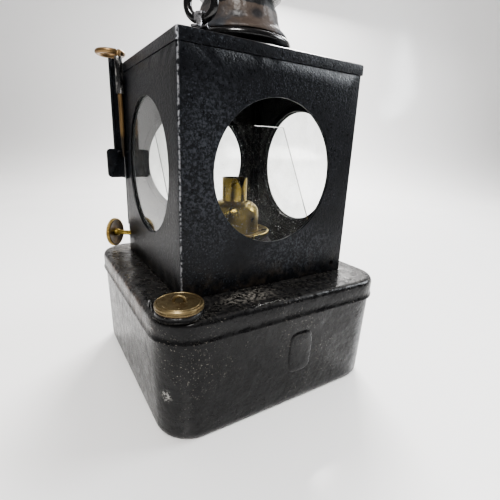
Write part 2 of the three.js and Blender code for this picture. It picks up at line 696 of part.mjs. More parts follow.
function assemble() {
  const group = new THREE.Group();
  group.name = 'railway_lantern';
  const c = CASE;
  const off = SHEET + GAP;
  const clamp = off + PANE.t + GAP;

  addMesh(group, 'font_shell', fontShell(), ENAMEL);
  addMesh(group, 'font_deck', fontDeck(), ENAMEL);
  addMesh(group, 'foot_frame', footFrame(), PAINT);
  addMesh(group, 'filler_neck', fillerNeck(), ENAMEL);
  addMesh(group, 'neck_staple', neckStaple(), STEEL);
  addMesh(group, 'cap_seal', capSeal(), CORK);
  addMesh(group, 'filler_cap', fillerCap(), BRASS);
  addMesh(group, 'cap_eye', capEye(), BRASS);
  addMesh(group, 'burner_seat', burnerSeat(), SOOT);
  addMesh(group, 'burner_flange', burnerFlange(), BRASS);
  addMesh(group, 'burner_dome', burnerDome(), BRASS);
  addMesh(group, 'wick_tube', wickTube(), BRASS);
  addMesh(group, 'wick', wick(), COTTON);
  addMesh(group, 'wick_spindle', wickSpindle(), STEEL);
  addMesh(group, 'spur_wheel', spurWheel(), BRASS);
  addMesh(group, 'wick_knob', knob(), PATINA);
  addMesh(group, 'spindle_bush', spindleBush(), PAINT);
  addMesh(group, 'case_walls', caseWalls(), PAINT);
  addMesh(group, 'case_roof', caseRoof(), PAINT);
  addMesh(group, 'bezel_front', bezel('y', c.y0 + off, c.y0 + off + BEZEL.t), PAINT);
  addMesh(group, 'bezel_left', bezel('x', c.x0 + clamp, c.x0 + clamp + BEZEL.t), PAINT);
  addMesh(group, 'bezel_right', bezel('x', c.x1 - clamp, c.x1 - clamp - BEZEL.t), PAINT);
  addMesh(group, 'pane_left', pane('x', c.x0 + off, c.x0 + off + PANE.t), GLASS);
  addMesh(group, 'pane_right', pane('x', c.x1 - off - PANE.t, c.x1 - off), GLASS);
  addMesh(group, 'pane_front_loose', loosePane(), GLASS);
  addMesh(group, 'rod_tube', rodTube(), PAINT);
  addMesh(group, 'hinge_pin', hingePin(), STEEL);
  addMesh(group, 'case_knuckle_low', knuckle(DECK + 12, DECK + 24, false), PAINT);
  addMesh(group, 'case_knuckle_high', knuckle(DECK + 104, DECK + 116, false), PAINT);
  addMesh(group, 'chimney_ring', chimneyRing(), ENAMEL);
  addMesh(group, 'chimney_drum', chimneyDrum(), SOOT);
  addMesh(group, 'chimney_cowl', chimneyCowl(), ENAMEL);
  addMesh(group, 'chimney_cap', chimneyCap(), ENAMEL);
  addMesh(group, 'bail_staple_front', bailStaple(-1), STEEL);
  addMesh(group, 'bail_staple_rear', bailStaple(1), STEEL);
  addMesh(group, 'bail_handle', bailHandle(), ENAMEL);
  addMesh(group, 'door_panel', doorPanel(), PAINT);
  addMesh(group, 'door_tab', doorTab(), PAINT);
  addMesh(group, 'door_knuckle_low', knuckle(DECK + 24.4, DECK + 36.4, true), PAINT);
  addMesh(group, 'door_knuckle_high', knuckle(DECK + 91.6, DECK + 103.6, true), PAINT);
  const back = DOOR.y0 - GAP;
  addMesh(group, 'pane_rear', pane('y', back - PANE.t, back), GLASS);
  addMesh(group, 'bezel_rear', bezel('y', back - PANE.t - GAP - BEZEL.t, back - PANE.t - GAP), PAINT);
  addMesh(group, 'drop_rod', dropRod(), BRASS);
  addMesh(group, 'drop_ring', dropRing(), BRASS);
  return group;
}

export default assemble();
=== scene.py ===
"""Railway hand lamp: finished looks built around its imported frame."""

import json
import math

import bmesh
import bpy
from bpy.props import FloatProperty, FloatVectorProperty, IntProperty, PointerProperty
from bpy.types import Operator, Panel, PropertyGroup
from mathutils import Matrix, Vector


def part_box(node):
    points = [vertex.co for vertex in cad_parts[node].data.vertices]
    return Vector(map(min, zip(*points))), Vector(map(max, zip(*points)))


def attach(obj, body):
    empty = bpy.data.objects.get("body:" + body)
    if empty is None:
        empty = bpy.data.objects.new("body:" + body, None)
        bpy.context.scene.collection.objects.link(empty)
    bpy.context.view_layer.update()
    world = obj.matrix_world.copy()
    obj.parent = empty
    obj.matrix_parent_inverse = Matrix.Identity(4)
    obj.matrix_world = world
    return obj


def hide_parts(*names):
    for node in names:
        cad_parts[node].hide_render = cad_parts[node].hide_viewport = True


bl_info = {
    "name": "Railway hand lamp",
    "version": (1, 0, 0),
    "blender": (4, 5, 0),
    "location": "3D View > Sidebar > Hand lamp",
    "description": "Builds the finished pieces of a square railway oil lamp",
    "category": "Object",
}

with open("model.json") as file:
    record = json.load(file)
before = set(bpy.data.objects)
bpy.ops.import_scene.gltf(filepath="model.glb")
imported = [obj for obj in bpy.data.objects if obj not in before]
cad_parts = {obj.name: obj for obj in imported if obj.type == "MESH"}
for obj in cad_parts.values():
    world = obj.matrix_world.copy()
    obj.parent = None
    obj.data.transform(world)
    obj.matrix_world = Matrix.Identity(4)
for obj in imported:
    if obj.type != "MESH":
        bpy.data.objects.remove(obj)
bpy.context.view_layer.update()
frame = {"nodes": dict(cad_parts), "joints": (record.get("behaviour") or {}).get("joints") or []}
MM = 0.001
AXIS_Z = Vector((0, 0, 1))


def node_box(name):
    """Lowest and highest corner of a frame node."""
    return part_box(name)


def mid(name):
    """Centre of a frame node's box."""
    low, high = node_box(name)
    return (low + high) / 2


DECK = node_box("font_deck")[1].z
CASE_LOW, CASE_HIGH = node_box("case_walls")
ROOF_LOW, ROOF_HIGH = node_box("case_roof")
WINDOW = Vector((mid("bezel_front").x, mid("bezel_left").y, mid("bezel_front").z))
STACK = mid("chimney_drum")
BURNER = mid("burner_flange")
CAP = mid("filler_cap")
KNOB = mid("wick_knob")
PIN = mid("drop_rod")
PIN_RING = mid("drop_ring")
HINGE = mid("hinge_pin")


def raised(profile):
    """Radii and heights above the deck, from millimetres to metres."""
    return [(radius * MM, DECK + height * MM) for radius, height in profile]


def spread(first, last, steps):
    """Numbers from first to last in equal steps, both ends included."""
    return [first + (last - first) * i / steps for i in range(steps + 1)]


def round_circle(steps):
    """Angles once round, without the closing one."""
    return [2 * math.pi * i / steps for i in range(steps)]


def joint(name):
    """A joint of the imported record, by name."""
    return next(j for j in frame["joints"] if j["name"] == name)


SPINDLE_AXIS = Vector(joint("wick_spindle_turn")["axis"]).normalized()
SPINDLE_AT = Vector(joint("wick_spindle_turn")["pos_m"])
BAIL_AXIS = Vector(joint("bail_swing")["axis"]).normalized()
BAIL_AT = Vector(joint("bail_swing")["pos_m"])
BAIL_SIDE = AXIS_Z.cross(BAIL_AXIS).normalized()
BAIL_REACH = 0.05406
WALL_TOP = DECK + 0.1270
DOOR_TOP = DECK + 0.1266
SCREW_SIDE = 0.0522
SCREW_HEIGHT = DECK + 0.0063
FLUE_RADIUS = 0.0235
ROOF_DEPTH = 0.042
KNUCKLE_BORE = 0.00128


# ---- adjustable sizes and colours ---------------------------------------------


class LampReservoirSettings(PropertyGroup):
    """Sizes of the oil reservoir and its deck."""

    corner: FloatProperty(
        name="Corner radius", description="Radius of the reservoir's corners", default=0.021, unit="LENGTH")
    fillet: FloatProperty(
        name="Foot fillet", description="Rounding along the underside", default=0.0062, unit="LENGTH")
    rim: FloatProperty(
        name="Rim height", description="Depth of the band folded down from the deck",
        default=0.0133, unit="LENGTH")
    bead: FloatProperty(
        name="Bead", description="How far the band's lower bead stands out", default=0.0005, unit="LENGTH")
    plaque: FloatVectorProperty(
        name="Plaque", description="Width and height of the blank raised plaque", size=2,
        default=(0.017, 0.027), unit="LENGTH")


class LampCaseSettings(PropertyGroup):
    """Sizes of the sheet case and roof."""

    sheet: FloatProperty(
        name="Sheet", description="Thickness of the tinplate", default=0.0012, unit="LENGTH")
    fold: FloatProperty(
        name="Fold radius", description="Radius of the case's folded corners", default=0.0016, unit="LENGTH")
    window: FloatProperty(
        name="Window radius", description="Radius of the round windows", default=0.0407, unit="LENGTH")
    slope: FloatProperty(
        name="Roof slope", description="Rise of the roof for each unit inwards", default=0.28)
    skirt: FloatProperty(
        name="Skirt", description="Depth of the roof's folded skirt", default=0.0062, unit="LENGTH")
    steps: IntProperty(
        name="Steps", description="Points along each side of a wall panel", default=20, min=8, max=60)


class LampFittingSettings(PropertyGroup):
    """Sizes of the brass and wire fittings."""

    turn_steps: IntProperty(
        name="Turning steps", description="Steps round a turned piece", default=72, min=24, max=160)
    knurls: IntProperty(
        name="Knurls", description="Ridges round the wick knob", default=54, min=16, max=120)
    bail_wire: FloatProperty(
        name="Bail wire", description="Radius of the bail's wire", default=0.0021, unit="LENGTH")
    pin_wire: FloatProperty(
        name="Pin wire", description="Radius of the drop pin", default=0.00165, unit="LENGTH")
    dents: FloatProperty(
        name="Dents", description="Depth of the dents in the chimney drum", default=0.0011, unit="LENGTH")


class LampFinishSettings(PropertyGroup):
    """Colours of the finishes."""

    paint: FloatVectorProperty(
        name="Case paint", description="Blue-black paint on the case", subtype="COLOR", size=3,
        default=(0.0032, 0.0036, 0.0046), min=0, max=1)
    enamel: FloatVectorProperty(
        name="Reservoir enamel", description="Worn black enamel", subtype="COLOR", size=3,
        default=(0.0036, 0.0036, 0.0039), min=0, max=1)
    brass: FloatVectorProperty(
        name="Burner brass", description="Aged brass of the burner", subtype="COLOR", size=3,
        default=(0.47, 0.345, 0.100), min=0, max=1)
    dull_brass: FloatVectorProperty(
        name="Cap brass", description="Dull brass of the filler cap", subtype="COLOR", size=3,
        default=(0.175, 0.135, 0.072), min=0, max=1)
    # the chimney's brown tone is painted reflected sheen on black sheet
    sheen_brown: FloatVectorProperty(
        name="Sheen-brown sheet", description="Brown tone of the chimney, painted in for its reflected sheen", subtype="COLOR", size=3,
        default=(0.058, 0.044, 0.036), min=0, max=1)
    dust: FloatVectorProperty(
        name="Dust", description="Dust lying on upward faces", subtype="COLOR", size=3,
        default=(0.30, 0.28, 0.25), min=0, max=1)


# ---- mesh helpers -------------------------------------------------------------


def mesh_object(name, verts, faces, edges=()):
    """A new mesh object at the origin."""
    mesh = bpy.data.meshes.new(name)
    mesh.from_pydata([tuple(v) for v in verts], list(edges), list(faces))
    mesh.update()
    obj = bpy.data.objects.new(name, mesh)
    bpy.context.scene.collection.objects.link(obj)
    return obj


def weld(obj, distance=0.00001, recalc=True):
    """Merge doubled points and turn the faces outward."""
    bm = bmesh.new()
    bm.from_mesh(obj.data)
    bmesh.ops.remove_doubles(bm, verts=bm.verts, dist=distance)
    if recalc:
        bmesh.ops.recalc_face_normals(bm, faces=bm.faces)
    bm.to_mesh(obj.data)
    bm.free()


def smooth(obj, degrees=38):
    """Shade smooth, keeping edges sharper than the angle."""
    mesh = obj.data
    mesh.polygons.foreach_set("use_smooth", [True] * len(mesh.polygons))
    mesh.set_sharp_from_angle(angle=math.radians(degrees))
    mesh.update()


def settle(obj, place=None):
    """Apply the modifier stack and then the place, leaving the object at the origin."""
    bpy.context.view_layer.update()
    graph = bpy.context.evaluated_depsgraph_get()
    mesh = bpy.data.meshes.new_from_object(obj.evaluated_get(graph))
    if place is not None:
        mesh.transform(place)
    if obj.type == "CURVE":
        curve = obj.data
        name = obj.name
        bpy.data.objects.remove(obj)
        bpy.data.curves.remove(curve)
        obj = bpy.data.objects.new(name, mesh)
        bpy.context.scene.collection.objects.link(obj)
        mesh.name = name
        weld(obj)
        return obj
    old = obj.data
    obj.modifiers.clear()
    obj.data = mesh
    bpy.data.meshes.remove(old)
    mesh.name = obj.name
    return obj


def stitched(rings, capped=True):
    """Vertices and faces of a skin through rings of equal point count."""
    count = len(rings[0])
    verts = [v for ring in rings for v in ring]
    faces = []
    for k in range(len(rings) - 1):
        low = k * count
        high = low + count
        for i in range(count):
            j = (i + 1) % count
            faces.append((low + i, low + j, high + j, high + i))
    if capped:
        faces.append(tuple(range(count - 1, -1, -1)))
        faces.append(tuple((len(rings) - 1) * count + i for i in range(count)))
    return verts, faces


def skin(name, rings):
    """Closed mesh object through rings, facing outward."""
    verts, faces = stitched(rings)
    obj = mesh_object(name, verts, faces)
    weld(obj)
    return obj


def ribbon(name, pairs):
    """Strip mesh through pairs of points."""
    faces = [(2 * i, 2 * i + 1, 2 * i + 3, 2 * i + 2) for i in range(len(pairs) - 1)]
    return mesh_object(name, [v for pair in pairs for v in pair], faces)


def add_bevel(obj, width, segments=2, degrees=40):
    """Live bevel that softens the sharper edges."""
    bevel = obj.modifiers.new("Softened edges", "BEVEL")
    bevel.width = width
    bevel.segments = segments
    bevel.limit_method = "ANGLE"
    bevel.angle_limit = math.radians(degrees)
    bevel.harden_normals = True


def add_thickness(obj, thickness, offset=-1.0):
    """Live wall thickness for a sheet."""
    wall = obj.modifiers.new("Sheet thickness", "SOLIDIFY")
    wall.thickness = thickness
    wall.offset = offset
    wall.use_even_offset = True
    return wall


def upright_place(centre, axis=AXIS_Z):
    """Matrix that stands a turned piece on its axis at a centre."""
    turn = AXIS_Z.rotation_difference(Vector(axis)).to_matrix().to_4x4()
    return Matrix.Translation(Vector(centre)) @ turn


def turned(name, profile, place, steps, closed=False, dent=None):
    """A turned piece: a radius and height profile in metres, swept by Screw and placed."""
    verts = [(r, 0.0, z) for r, z in profile]
    edges = [(i, i + 1) for i in range(len(profile) - 1)]
    if closed:
        edges.append((len(profile) - 1, 0))
    obj = mesh_object(name, verts, [], edges)
    screw = obj.modifiers.new("Turning", "SCREW")
    screw.steps = steps
    screw.render_steps = steps
    screw.axis = "Z"
    screw.use_merge_vertices = True
    screw.merge_threshold = 0.00002
    if dent:
        depth, size = dent
        finer = obj.modifiers.new("Finer skin", "SUBSURF")
        finer.levels = 1
        finer.render_levels = 1
        texture = bpy.data.textures.new(name + " dents", "CLOUDS")
        texture.noise_scale = size
        texture.noise_depth = 1
        push = obj.modifiers.new("Dents", "DISPLACE")
        push.texture = texture
        push.strength = depth
        push.mid_level = 0.55
        push.texture_coords = "LOCAL"
    obj = settle(obj)
    weld(obj)
    obj.data.transform(place)
    smooth(obj, 34)
    return obj


def tube(name, points, radius, cyclic=False, radii=None):
    """Round wire along points, made from a bevelled curve and turned to a mesh."""
    curve = bpy.data.curves.new(name, "CURVE")
    curve.dimensions = "3D"
    curve.bevel_depth = radius
    curve.bevel_resolution = 5
    curve.use_fill_caps = True
    curve.resolution_u = 6
    spline = curve.splines.new("BEZIER")
    spline.bezier_points.add(len(points) - 1)
    for k, (knot, point) in enumerate(zip(spline.bezier_points, points)):
        knot.co = point
        knot.handle_left_type = "AUTO"
        knot.handle_right_type = "AUTO"
        knot.radius = radii[k] if radii else 1.0
    spline.use_cyclic_u = cyclic
    obj = bpy.data.objects.new(name, curve)
    bpy.context.scene.collection.objects.link(obj)
    obj = settle(obj)
    smooth(obj, 60)
    return obj


def joined(name, objects):
    """One object from several, all at the origin."""
    bm = bmesh.new()
    for obj in objects:
        bm.from_mesh(obj.data)
    mesh = bpy.data.meshes.new(name)
    bm.to_mesh(mesh)
    bm.free()
    for obj in objects:
        old = obj.data
        bpy.data.objects.remove(obj)
        bpy.data.meshes.remove(old)
    result = bpy.data.objects.new(name, mesh)
    bpy.context.scene.collection.objects.link(result)
    smooth(result, 38)
    return result


def cut_away(obj, helpers):
    """Cut helper solids from a piece, apply, and remove the helpers."""
    for helper in helpers:
        cut = obj.modifiers.new("Cut", "BOOLEAN")
        cut.operation = "DIFFERENCE"
        cut.solver = "EXACT"
        cut.object = helper
    obj = settle(obj)
    for helper in helpers:
        old = helper.data
        bpy.data.objects.remove(helper)
        bpy.data.meshes.remove(old)
    smooth(obj, 34)
    return obj


def rod_solid(name, start, end, radius, steps=24):
    """A plain round helper from one point to another."""
    start = Vector(start)
    end = Vector(end)
    place = upright_place(start, end - start)
    circle = [(radius * math.cos(a), radius * math.sin(a)) for a in round_circle(steps)]
    return skin(name, [[place @ Vector((x, y, z)) for x, y in circle] for z in (0.0, (end - start).length)])


def slab(name, low, high, bevel=0.0003):
    """Small bevelled plate between two corners."""
    x0, y0, z0 = low
    x1, y1, z1 = high
    ring = [(x0, y0), (x1, y0), (x1, y1), (x0, y1)]
    obj = skin(name, [[Vector((x, y, z)) for x, y in ring] for z in (z0, z1)])
    if bevel:
        add_bevel(obj, bevel, 2)
        obj = settle(obj)
    return obj


def square_ring(half, corner, z, side_steps=12, corner_steps=9):
    """Rounded square at height z, with points along its straight sides."""
    ring = []
    straight = half - corner
    for quarter in range(4):
        turn = Matrix.Rotation(quarter * math.pi / 2, 3, "Z")
        for i in range(corner_steps):
            a = (i / corner_steps) * math.pi / 2
            ring.append(turn @ Vector((straight + corner * math.cos(a), straight + corner * math.sin(a), z)))
        for i in range(side_steps):
            t = i / side_steps
            ring.append(turn @ Vector((straight - 2 * straight * t, half, z)))
    return ring


def finish(obj, look, body, replaces=()):
    """Give a piece its named finish, its body and the frame nodes it stands for."""
    obj.data.materials.clear()
    obj.data.materials.append(finish_named(look))
    for polygon in obj.data.polygons:
        polygon.material_index = 0
    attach(obj, body)
    if replaces:
        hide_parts(*replaces)
    return obj


def dress(node, look):
    """Give a carried frame node a named finish."""
    obj = frame["nodes"][node]
    obj.data.materials.clear()
    obj.data.materials.append(finish_named(look))


# ---- material helpers ---------------------------------------------------------


class Finish:
    """Short way of writing a node material."""

    def __init__(self, name):
        self.material = bpy.data.materials.new(name)
        self.material.use_nodes = True
        self.tree = self.material.node_tree
        self.tree.nodes.clear()
        self.surface = self.tree.nodes.new("ShaderNodeBsdfPrincipled")
        output = self.tree.nodes.new("ShaderNodeOutputMaterial")
        self.tree.links.new(self.surface.outputs[0], output.inputs[0])
        self.where = self.tree.nodes.new("ShaderNodeTexCoord").outputs["Object"]

    def put(self, socket, value):
        """Link an output or set a plain value."""
        if isinstance(value, bpy.types.NodeSocket):
            self.tree.links.new(value, socket)
        elif isinstance(value, (tuple, list)) and len(value) == 3 and socket.type == "RGBA":
            socket.default_value = (*value, 1.0)
        else:
            socket.default_value = value

    def set(self, **values):
        """Set the shader's own sockets by name, with underscores for spaces."""
        for name, value in values.items():
            self.put(self.surface.inputs[name.replace("_", " ")], value)

    def noise(self, scale, detail, roughness, stretch=None):
        """Noise in object space, optionally stretched along the axes."""
        node = self.tree.nodes.new("ShaderNodeTexNoise")
        node.inputs["Scale"].default_value = scale
        node.inputs["Detail"].default_value = detail
        node.inputs["Roughness"].default_value = roughness
        self.tree.links.new(self.mapped(stretch), node.inputs["Vector"])
        return node.outputs["Fac"]

    def cells(self, scale, stretch=None):
        """Distance to the nearest cell point."""
        node = self.tree.nodes.new("ShaderNodeTexVoronoi")
        node.inputs["Scale"].default_value = scale
        self.tree.links.new(self.mapped(stretch), node.inputs["Vector"])
        return node.outputs["Distance"]

    def mapped(self, stretch):
        """Object coordinates scaled by axis."""
        if stretch is None:
            return self.where
        node = self.tree.nodes.new("ShaderNodeMapping")
        node.inputs["Scale"].default_value = stretch
        self.tree.links.new(self.where, node.inputs["Vector"])
        return node.outputs["Vector"]

    def band(self, value, low, high, from_value=0.0, to_value=1.0):
        """Map a range smoothly onto another."""
        node = self.tree.nodes.new("ShaderNodeMapRange")
        node.interpolation_type = "SMOOTHSTEP"
        limits = {"From Min": low, "From Max": high, "To Min": from_value, "To Max": to_value}
        for name, number in limits.items():
            node.inputs[name].default_value = number
        self.put(node.inputs["Value"], value)
        return node.outputs["Result"]

    def maths(self, operation, first, second=0.0):
        """One arithmetic step."""
        node = self.tree.nodes.new("ShaderNodeMath")
        node.operation = operation
        self.put(node.inputs[0], first)
        self.put(node.inputs[1], second)
        return node.outputs[0]

    def times(self, first, second):
        """Product of two strengths."""
        return self.maths("MULTIPLY", first, second)

    def larger(self, first, second):
        """The larger of two strengths."""
        return self.maths("MAXIMUM", first, second)

    def blend(self, factor, first, second):
        """Mix two colours."""
        node = self.tree.nodes.new("ShaderNodeMix")
        node.data_type = "RGBA"
        self.put(node.inputs[0], factor)
        self.put(node.inputs[6], first)
        self.put(node.inputs[7], second)
        return node.outputs[2]

    def axis(self, letter):
        """One object coordinate."""
        node = self.tree.nodes.new("ShaderNodeSeparateXYZ")
        self.tree.links.new(self.where, node.inputs[0])
        return node.outputs[letter]

    def facing_up(self):
        """How far a face points upward."""
        geometry = self.tree.nodes.new("ShaderNodeNewGeometry")
        node = self.tree.nodes.new("ShaderNodeSeparateXYZ")
        self.tree.links.new(geometry.outputs["Normal"], node.inputs[0])
        return node.outputs["Z"]

    def near_line(self, x, y, reach, core=0.0):
        """Strength near an upright line, full inside the core and none past the reach."""
        dx = self.maths("SUBTRACT", self.axis("X"), x)
        dy = self.maths("SUBTRACT", self.axis("Y"), y)
        square = self.maths("ADD", self.times(dx, dx), self.times(dy, dy))
        return self.band(self.maths("SQRT", square), reach, core)

    def near_point(self, at, radii):
        """Strength inside a soft ellipsoid."""
        node = self.tree.nodes.new("ShaderNodeMapping")
        node.vector_type = "POINT"
        node.inputs["Scale"].default_value = tuple(1.0 / r for r in radii)
        node.inputs["Location"].default_value = tuple(-a / r for a, r in zip(at, radii))
        self.tree.links.new(self.where, node.inputs["Vector"])
        length = self.tree.nodes.new("ShaderNodeVectorMath")
        length.operation = "LENGTH"
        self.tree.links.new(node.outputs[0], length.inputs[0])
        return self.band(length.outputs["Value"], 1.0, 0.3)

    def bump(self, height, strength, distance, under=None):
        """Bump from a height, stacked on another."""
        node = self.tree.nodes.new("ShaderNodeBump")
        node.inputs["Strength"].default_value = strength
        node.inputs["Distance"].default_value = distance
        self.put(node.inputs["Height"], height)
        if under is not None:
            self.tree.links.new(under, node.inputs["Normal"])
        return node.outputs["Normal"]


def scaled(tone, *by):
    """A colour multiplied by one factor, or by one for each channel."""
    return tuple(v * k for v, k in zip(tone, by * 3 if len(by) == 1 else by))


def case_paint(tone):
    """Blue-black brushed paint with orange peel, pale specks of painted glint, painted sheen patches and a
    painted highlight along the front-left corner.
    """
    f = Finish("Blue-black paint")
    broad = f.noise(34, 4, 0.6)
    mottle = f.noise(560, 4, 0.65)
    glint_noise = f.noise(950, 4, 0.72)
    # painted glints: sparse pale blue-grey specks standing in for light caught by the paint
    painted_glints = f.times(f.band(glint_noise, 0.55, 0.64), f.band(broad, 0.42, 0.58))
    corner = f.near_line(CASE_LOW.x, CASE_LOW.y, 0.0013)
    # painted highlight: a broken pale line of light down the front-left folded corner
    corner_highlight = f.times(corner, f.band(f.noise(620, 2, 0.6), 0.38, 0.58))
    colour = f.blend(f.band(mottle, 0.35, 0.7), tone, scaled(tone, 2.0))
    colour = f.blend(f.times(painted_glints, 0.42), colour, (0.095, 0.105, 0.125))
    # painted sheen: mottled lighter blue-grey patches on the front face where it reflects light
    sheen_zones = f.larger(f.near_point((-0.040, CASE_LOW.y, DECK + 0.070), (0.032, 0.012, 0.062)),
                     f.near_point((0.020, CASE_LOW.y, DECK + 0.020), (0.045, 0.012, 0.022)))
    sheen = f.times(sheen_zones, f.band(f.noise(640, 4, 0.7), 0.44, 0.64))
    colour = f.blend(f.times(sheen, 0.8), colour, (0.042, 0.046, 0.054))
    colour = f.blend(f.times(corner_highlight, 0.85), colour, (0.50, 0.51, 0.54))
    low = f.band(f.axis("Z"), DECK + 0.022, DECK, 0.0, 1.0)
    grime = f.times(low, f.band(f.noise(160, 4, 0.7), 0.42, 0.7))
    colour = f.blend(f.times(grime, 0.5), colour, (0.055, 0.044, 0.034))
    f.set(Base_Color=colour, Roughness=f.band(mottle, 0.2, 0.8, 0.24, 0.44))
    peel = f.bump(mottle, 0.36, 0.0006)
    peel = f.bump(f.noise(1000, 2, 0.6), 0.45, 0.0004, peel)
    streak = f.noise(60, 3, 0.6, (1.0, 1.0, 0.12))
    f.set(Normal=f.bump(streak, 0.10, 0.0015, peel), Specular_IOR_Level=0.18)
    return f.material


def reservoir_enamel(tone, dust):
    """Glossy black enamel with chipped spots, scuffs and settled dust."""
    f = Finish("Reservoir enamel")
    broad = f.noise(26, 4, 0.6)
    ripple = f.noise(190, 3, 0.55)
    fleck = f.noise(1000, 3, 0.6)
    scuff = f.noise(380, 4, 0.75, (1.0, 1.0, 2.2))
    colour = f.blend(f.band(ripple, 0.3, 0.75), tone, scaled(tone, 2.2))
    specks = f.times(f.band(fleck, 0.62, 0.69), f.band(broad, 0.46, 0.62))
    colour = f.blend(f.times(specks, 0.8), colour, (0.22, 0.205, 0.18))
    wear = f.times(f.band(scuff, 0.60, 0.72), f.band(f.noise(48, 3, 0.6), 0.46, 0.62))
    colour = f.blend(f.times(wear, 0.3), colour, (0.07, 0.062, 0.052))
    up = f.band(f.facing_up(), 0.55, 0.98)
    patch = f.larger(f.near_point((-0.022, -0.0640, DECK), (0.024, 0.010, 0.02)),
                    f.near_point((-0.060, 0.066, DECK), (0.030, 0.016, 0.02)))
    settled = f.times(f.band(f.noise(480, 5, 0.75), 0.44, 0.66), f.maths("ADD", f.times(patch, 0.6), 0.10))
    settled = f.times(settled, up)
    colour = f.blend(settled, colour, dust)
    rust = f.times(f.near_point((-0.079, 0.0, DECK - 0.006), (0.004, 0.09, 0.009)),
                   f.band(f.noise(120, 4, 0.7), 0.40, 0.66))
    colour = f.blend(f.times(rust, 0.45), colour, (0.12, 0.065, 0.035))
    chip = f.times(f.near_point((-0.0775, -0.0700, 0.030), (0.007, 0.007, 0.0065)),
                   f.band(f.noise(420, 3, 0.7), 0.48, 0.53))
    colour = f.blend(chip, colour, (0.62, 0.61, 0.58))
    f.set(Base_Color=colour)
    dulled = f.larger(settled, f.times(wear, 0.6))
    f.set(Roughness=f.maths("ADD", f.band(ripple, 0.2, 0.8, 0.20, 0.36), f.times(dulled, 0.4)))
    skin_bump = f.bump(ripple, 0.30, 0.0008)
    skin_bump = f.bump(broad, 0.5, 0.004, skin_bump)
    skin_bump = f.bump(f.noise(700, 3, 0.6), 0.30, 0.0003, skin_bump)
    f.set(Normal=f.bump(f.maths("ADD", specks, wear), 0.25, 0.0002, skin_bump), Specular_IOR_Level=0.27)
    return f.material


def gloss_black(tone):
    """Thick glossy stove enamel on the chimney ring, bail and staples."""
    f = Finish("Stove enamel")
    ripple = f.noise(260, 3, 0.55)
    fleck = f.noise(1500, 2, 0.5)
    colour = f.blend(f.band(ripple, 0.35, 0.75), tone, scaled(tone, 2.0))
    colour = f.blend(f.times(f.band(fleck, 0.69, 0.75), 0.6), colour, (0.24, 0.22, 0.20))
    f.set(Base_Color=colour, Roughness=f.band(ripple, 0.2, 0.8, 0.13, 0.27))
    f.set(Normal=f.bump(ripple, 0.22, 0.0007), Specular_IOR_Level=0.6)
    return f.material


def scraped_black(tone):
    """Black tube scraped to bare metal along its length."""
    f = Finish("Scraped tube")
    scrape = f.noise(620, 4, 0.7, (1.0, 1.0, 0.22))
    bare = f.band(scrape, 0.50, 0.60)
    colour = f.blend(bare, scaled(tone, 1.5), (0.42, 0.41, 0.40))
    f.set(Base_Color=colour, Metallic=f.times(bare, 0.8), Roughness=f.band(scrape, 0.3, 0.7, 0.22, 0.42))
    f.set(Normal=f.bump(scrape, 0.5, 0.0004))
    return f.material


def strap_steel():
    """Steel strap with remains of black paint."""
    f = Finish("Strap steel")
    cloud = f.noise(240, 4, 0.7)
    colour = f.blend(f.band(cloud, 0.48, 0.62), (0.36, 0.36, 0.375), (0.03, 0.03, 0.032))
    f.set(Base_Color=colour, Metallic=0.9, Roughness=f.band(cloud, 0.3, 0.7, 0.22, 0.46))
    f.set(Normal=f.bump(f.noise(700, 3, 0.6), 0.25, 0.0003))
    return f.material


def sheen_brown_sheet(tone):
    """Chimney sheet given a brown tone as painted reflected sheen on black sheet, with dark bluish painted
    shade in two dents and a painted shadow under the cowl.
    """
    f = Finish("Sheen-brown sheet")
    cloud = f.noise(52, 4, 0.6)
    fine = f.noise(600, 3, 0.6)
    # painted reflection: the brown base tone and the lighter brown patches stand in for the warm sheen on the
    # black drum
    colour = f.blend(f.band(cloud, 0.42, 0.66), tone, (0.026, 0.029, 0.035))
    colour = f.blend(f.band(f.noise(90, 4, 0.65), 0.60, 0.78), colour, (0.085, 0.066, 0.052))
    colour = f.blend(f.times(f.band(fine, 0.66, 0.74), 0.5), colour, (0.22, 0.20, 0.18))
    # painted shadow: a near-black band with a wavy lower edge at the top of the drum, under the cowl
    ragged = f.maths("ADD", f.axis("Z"), f.times(f.noise(95, 3, 0.6), 0.006))
    cowl_shadow = f.band(ragged, DECK + 0.1622, DECK + 0.1629)
    # painted shade: two dark bluish patches where the drum is dented
    dent = f.larger(f.near_point((STACK.x - 0.0023, STACK.y - 0.0247, DECK + 0.1545), (0.0055, 0.006, 0.0040)),
                   f.near_point((STACK.x - 0.0134, STACK.y - 0.0211, DECK + 0.1530), (0.0065, 0.0065, 0.0032)))
    colour = f.blend(f.times(dent, 0.85), colour, (0.010, 0.011, 0.014))
    colour = f.blend(cowl_shadow, colour, (0.006, 0.006, 0.0065))
    f.set(Base_Color=colour, Metallic=0.0, Specular_IOR_Level=0.35,
          Roughness=f.band(cloud, 0.3, 0.7, 0.40, 0.58))
    under = f.bump(f.noise(75, 3, 0.6), 0.32, 0.004)
    f.set(Normal=f.bump(fine, 0.25, 0.0004, under))
    return f.material


def burner_brass(tone):
    """Bright aged brass with brown streaks."""
    f = Finish("Burner brass")
    streak = f.noise(150, 4, 0.6, (1.0, 1.0, 0.25))
    cloud = f.noise(110, 4, 0.6)
    colour = f.blend(f.band(streak, 0.45, 0.80), tone, scaled(tone, 0.72, 0.68, 0.58))
    colour = f.blend(f.times(f.band(cloud, 0.62, 0.80), 0.3), colour, (0.18, 0.13, 0.05))
    # darker on the inner bore of the wick tube, from 46 mm above the deck upward
    darker_bore = f.times(f.near_line(BURNER.x, BURNER.y, 0.0084, 0.0080),
                    f.band(f.axis("Z"), DECK + 0.046, DECK + 0.048))
    colour = f.blend(f.times(darker_bore, 0.92), colour, (0.020, 0.014, 0.009))
    f.set(Base_Color=colour, Metallic=1.0, Roughness=f.band(cloud, 0.25, 0.75, 0.24, 0.38))
    f.set(Normal=f.bump(f.noise(420, 3, 0.6), 0.12, 0.0004))
    return f.material


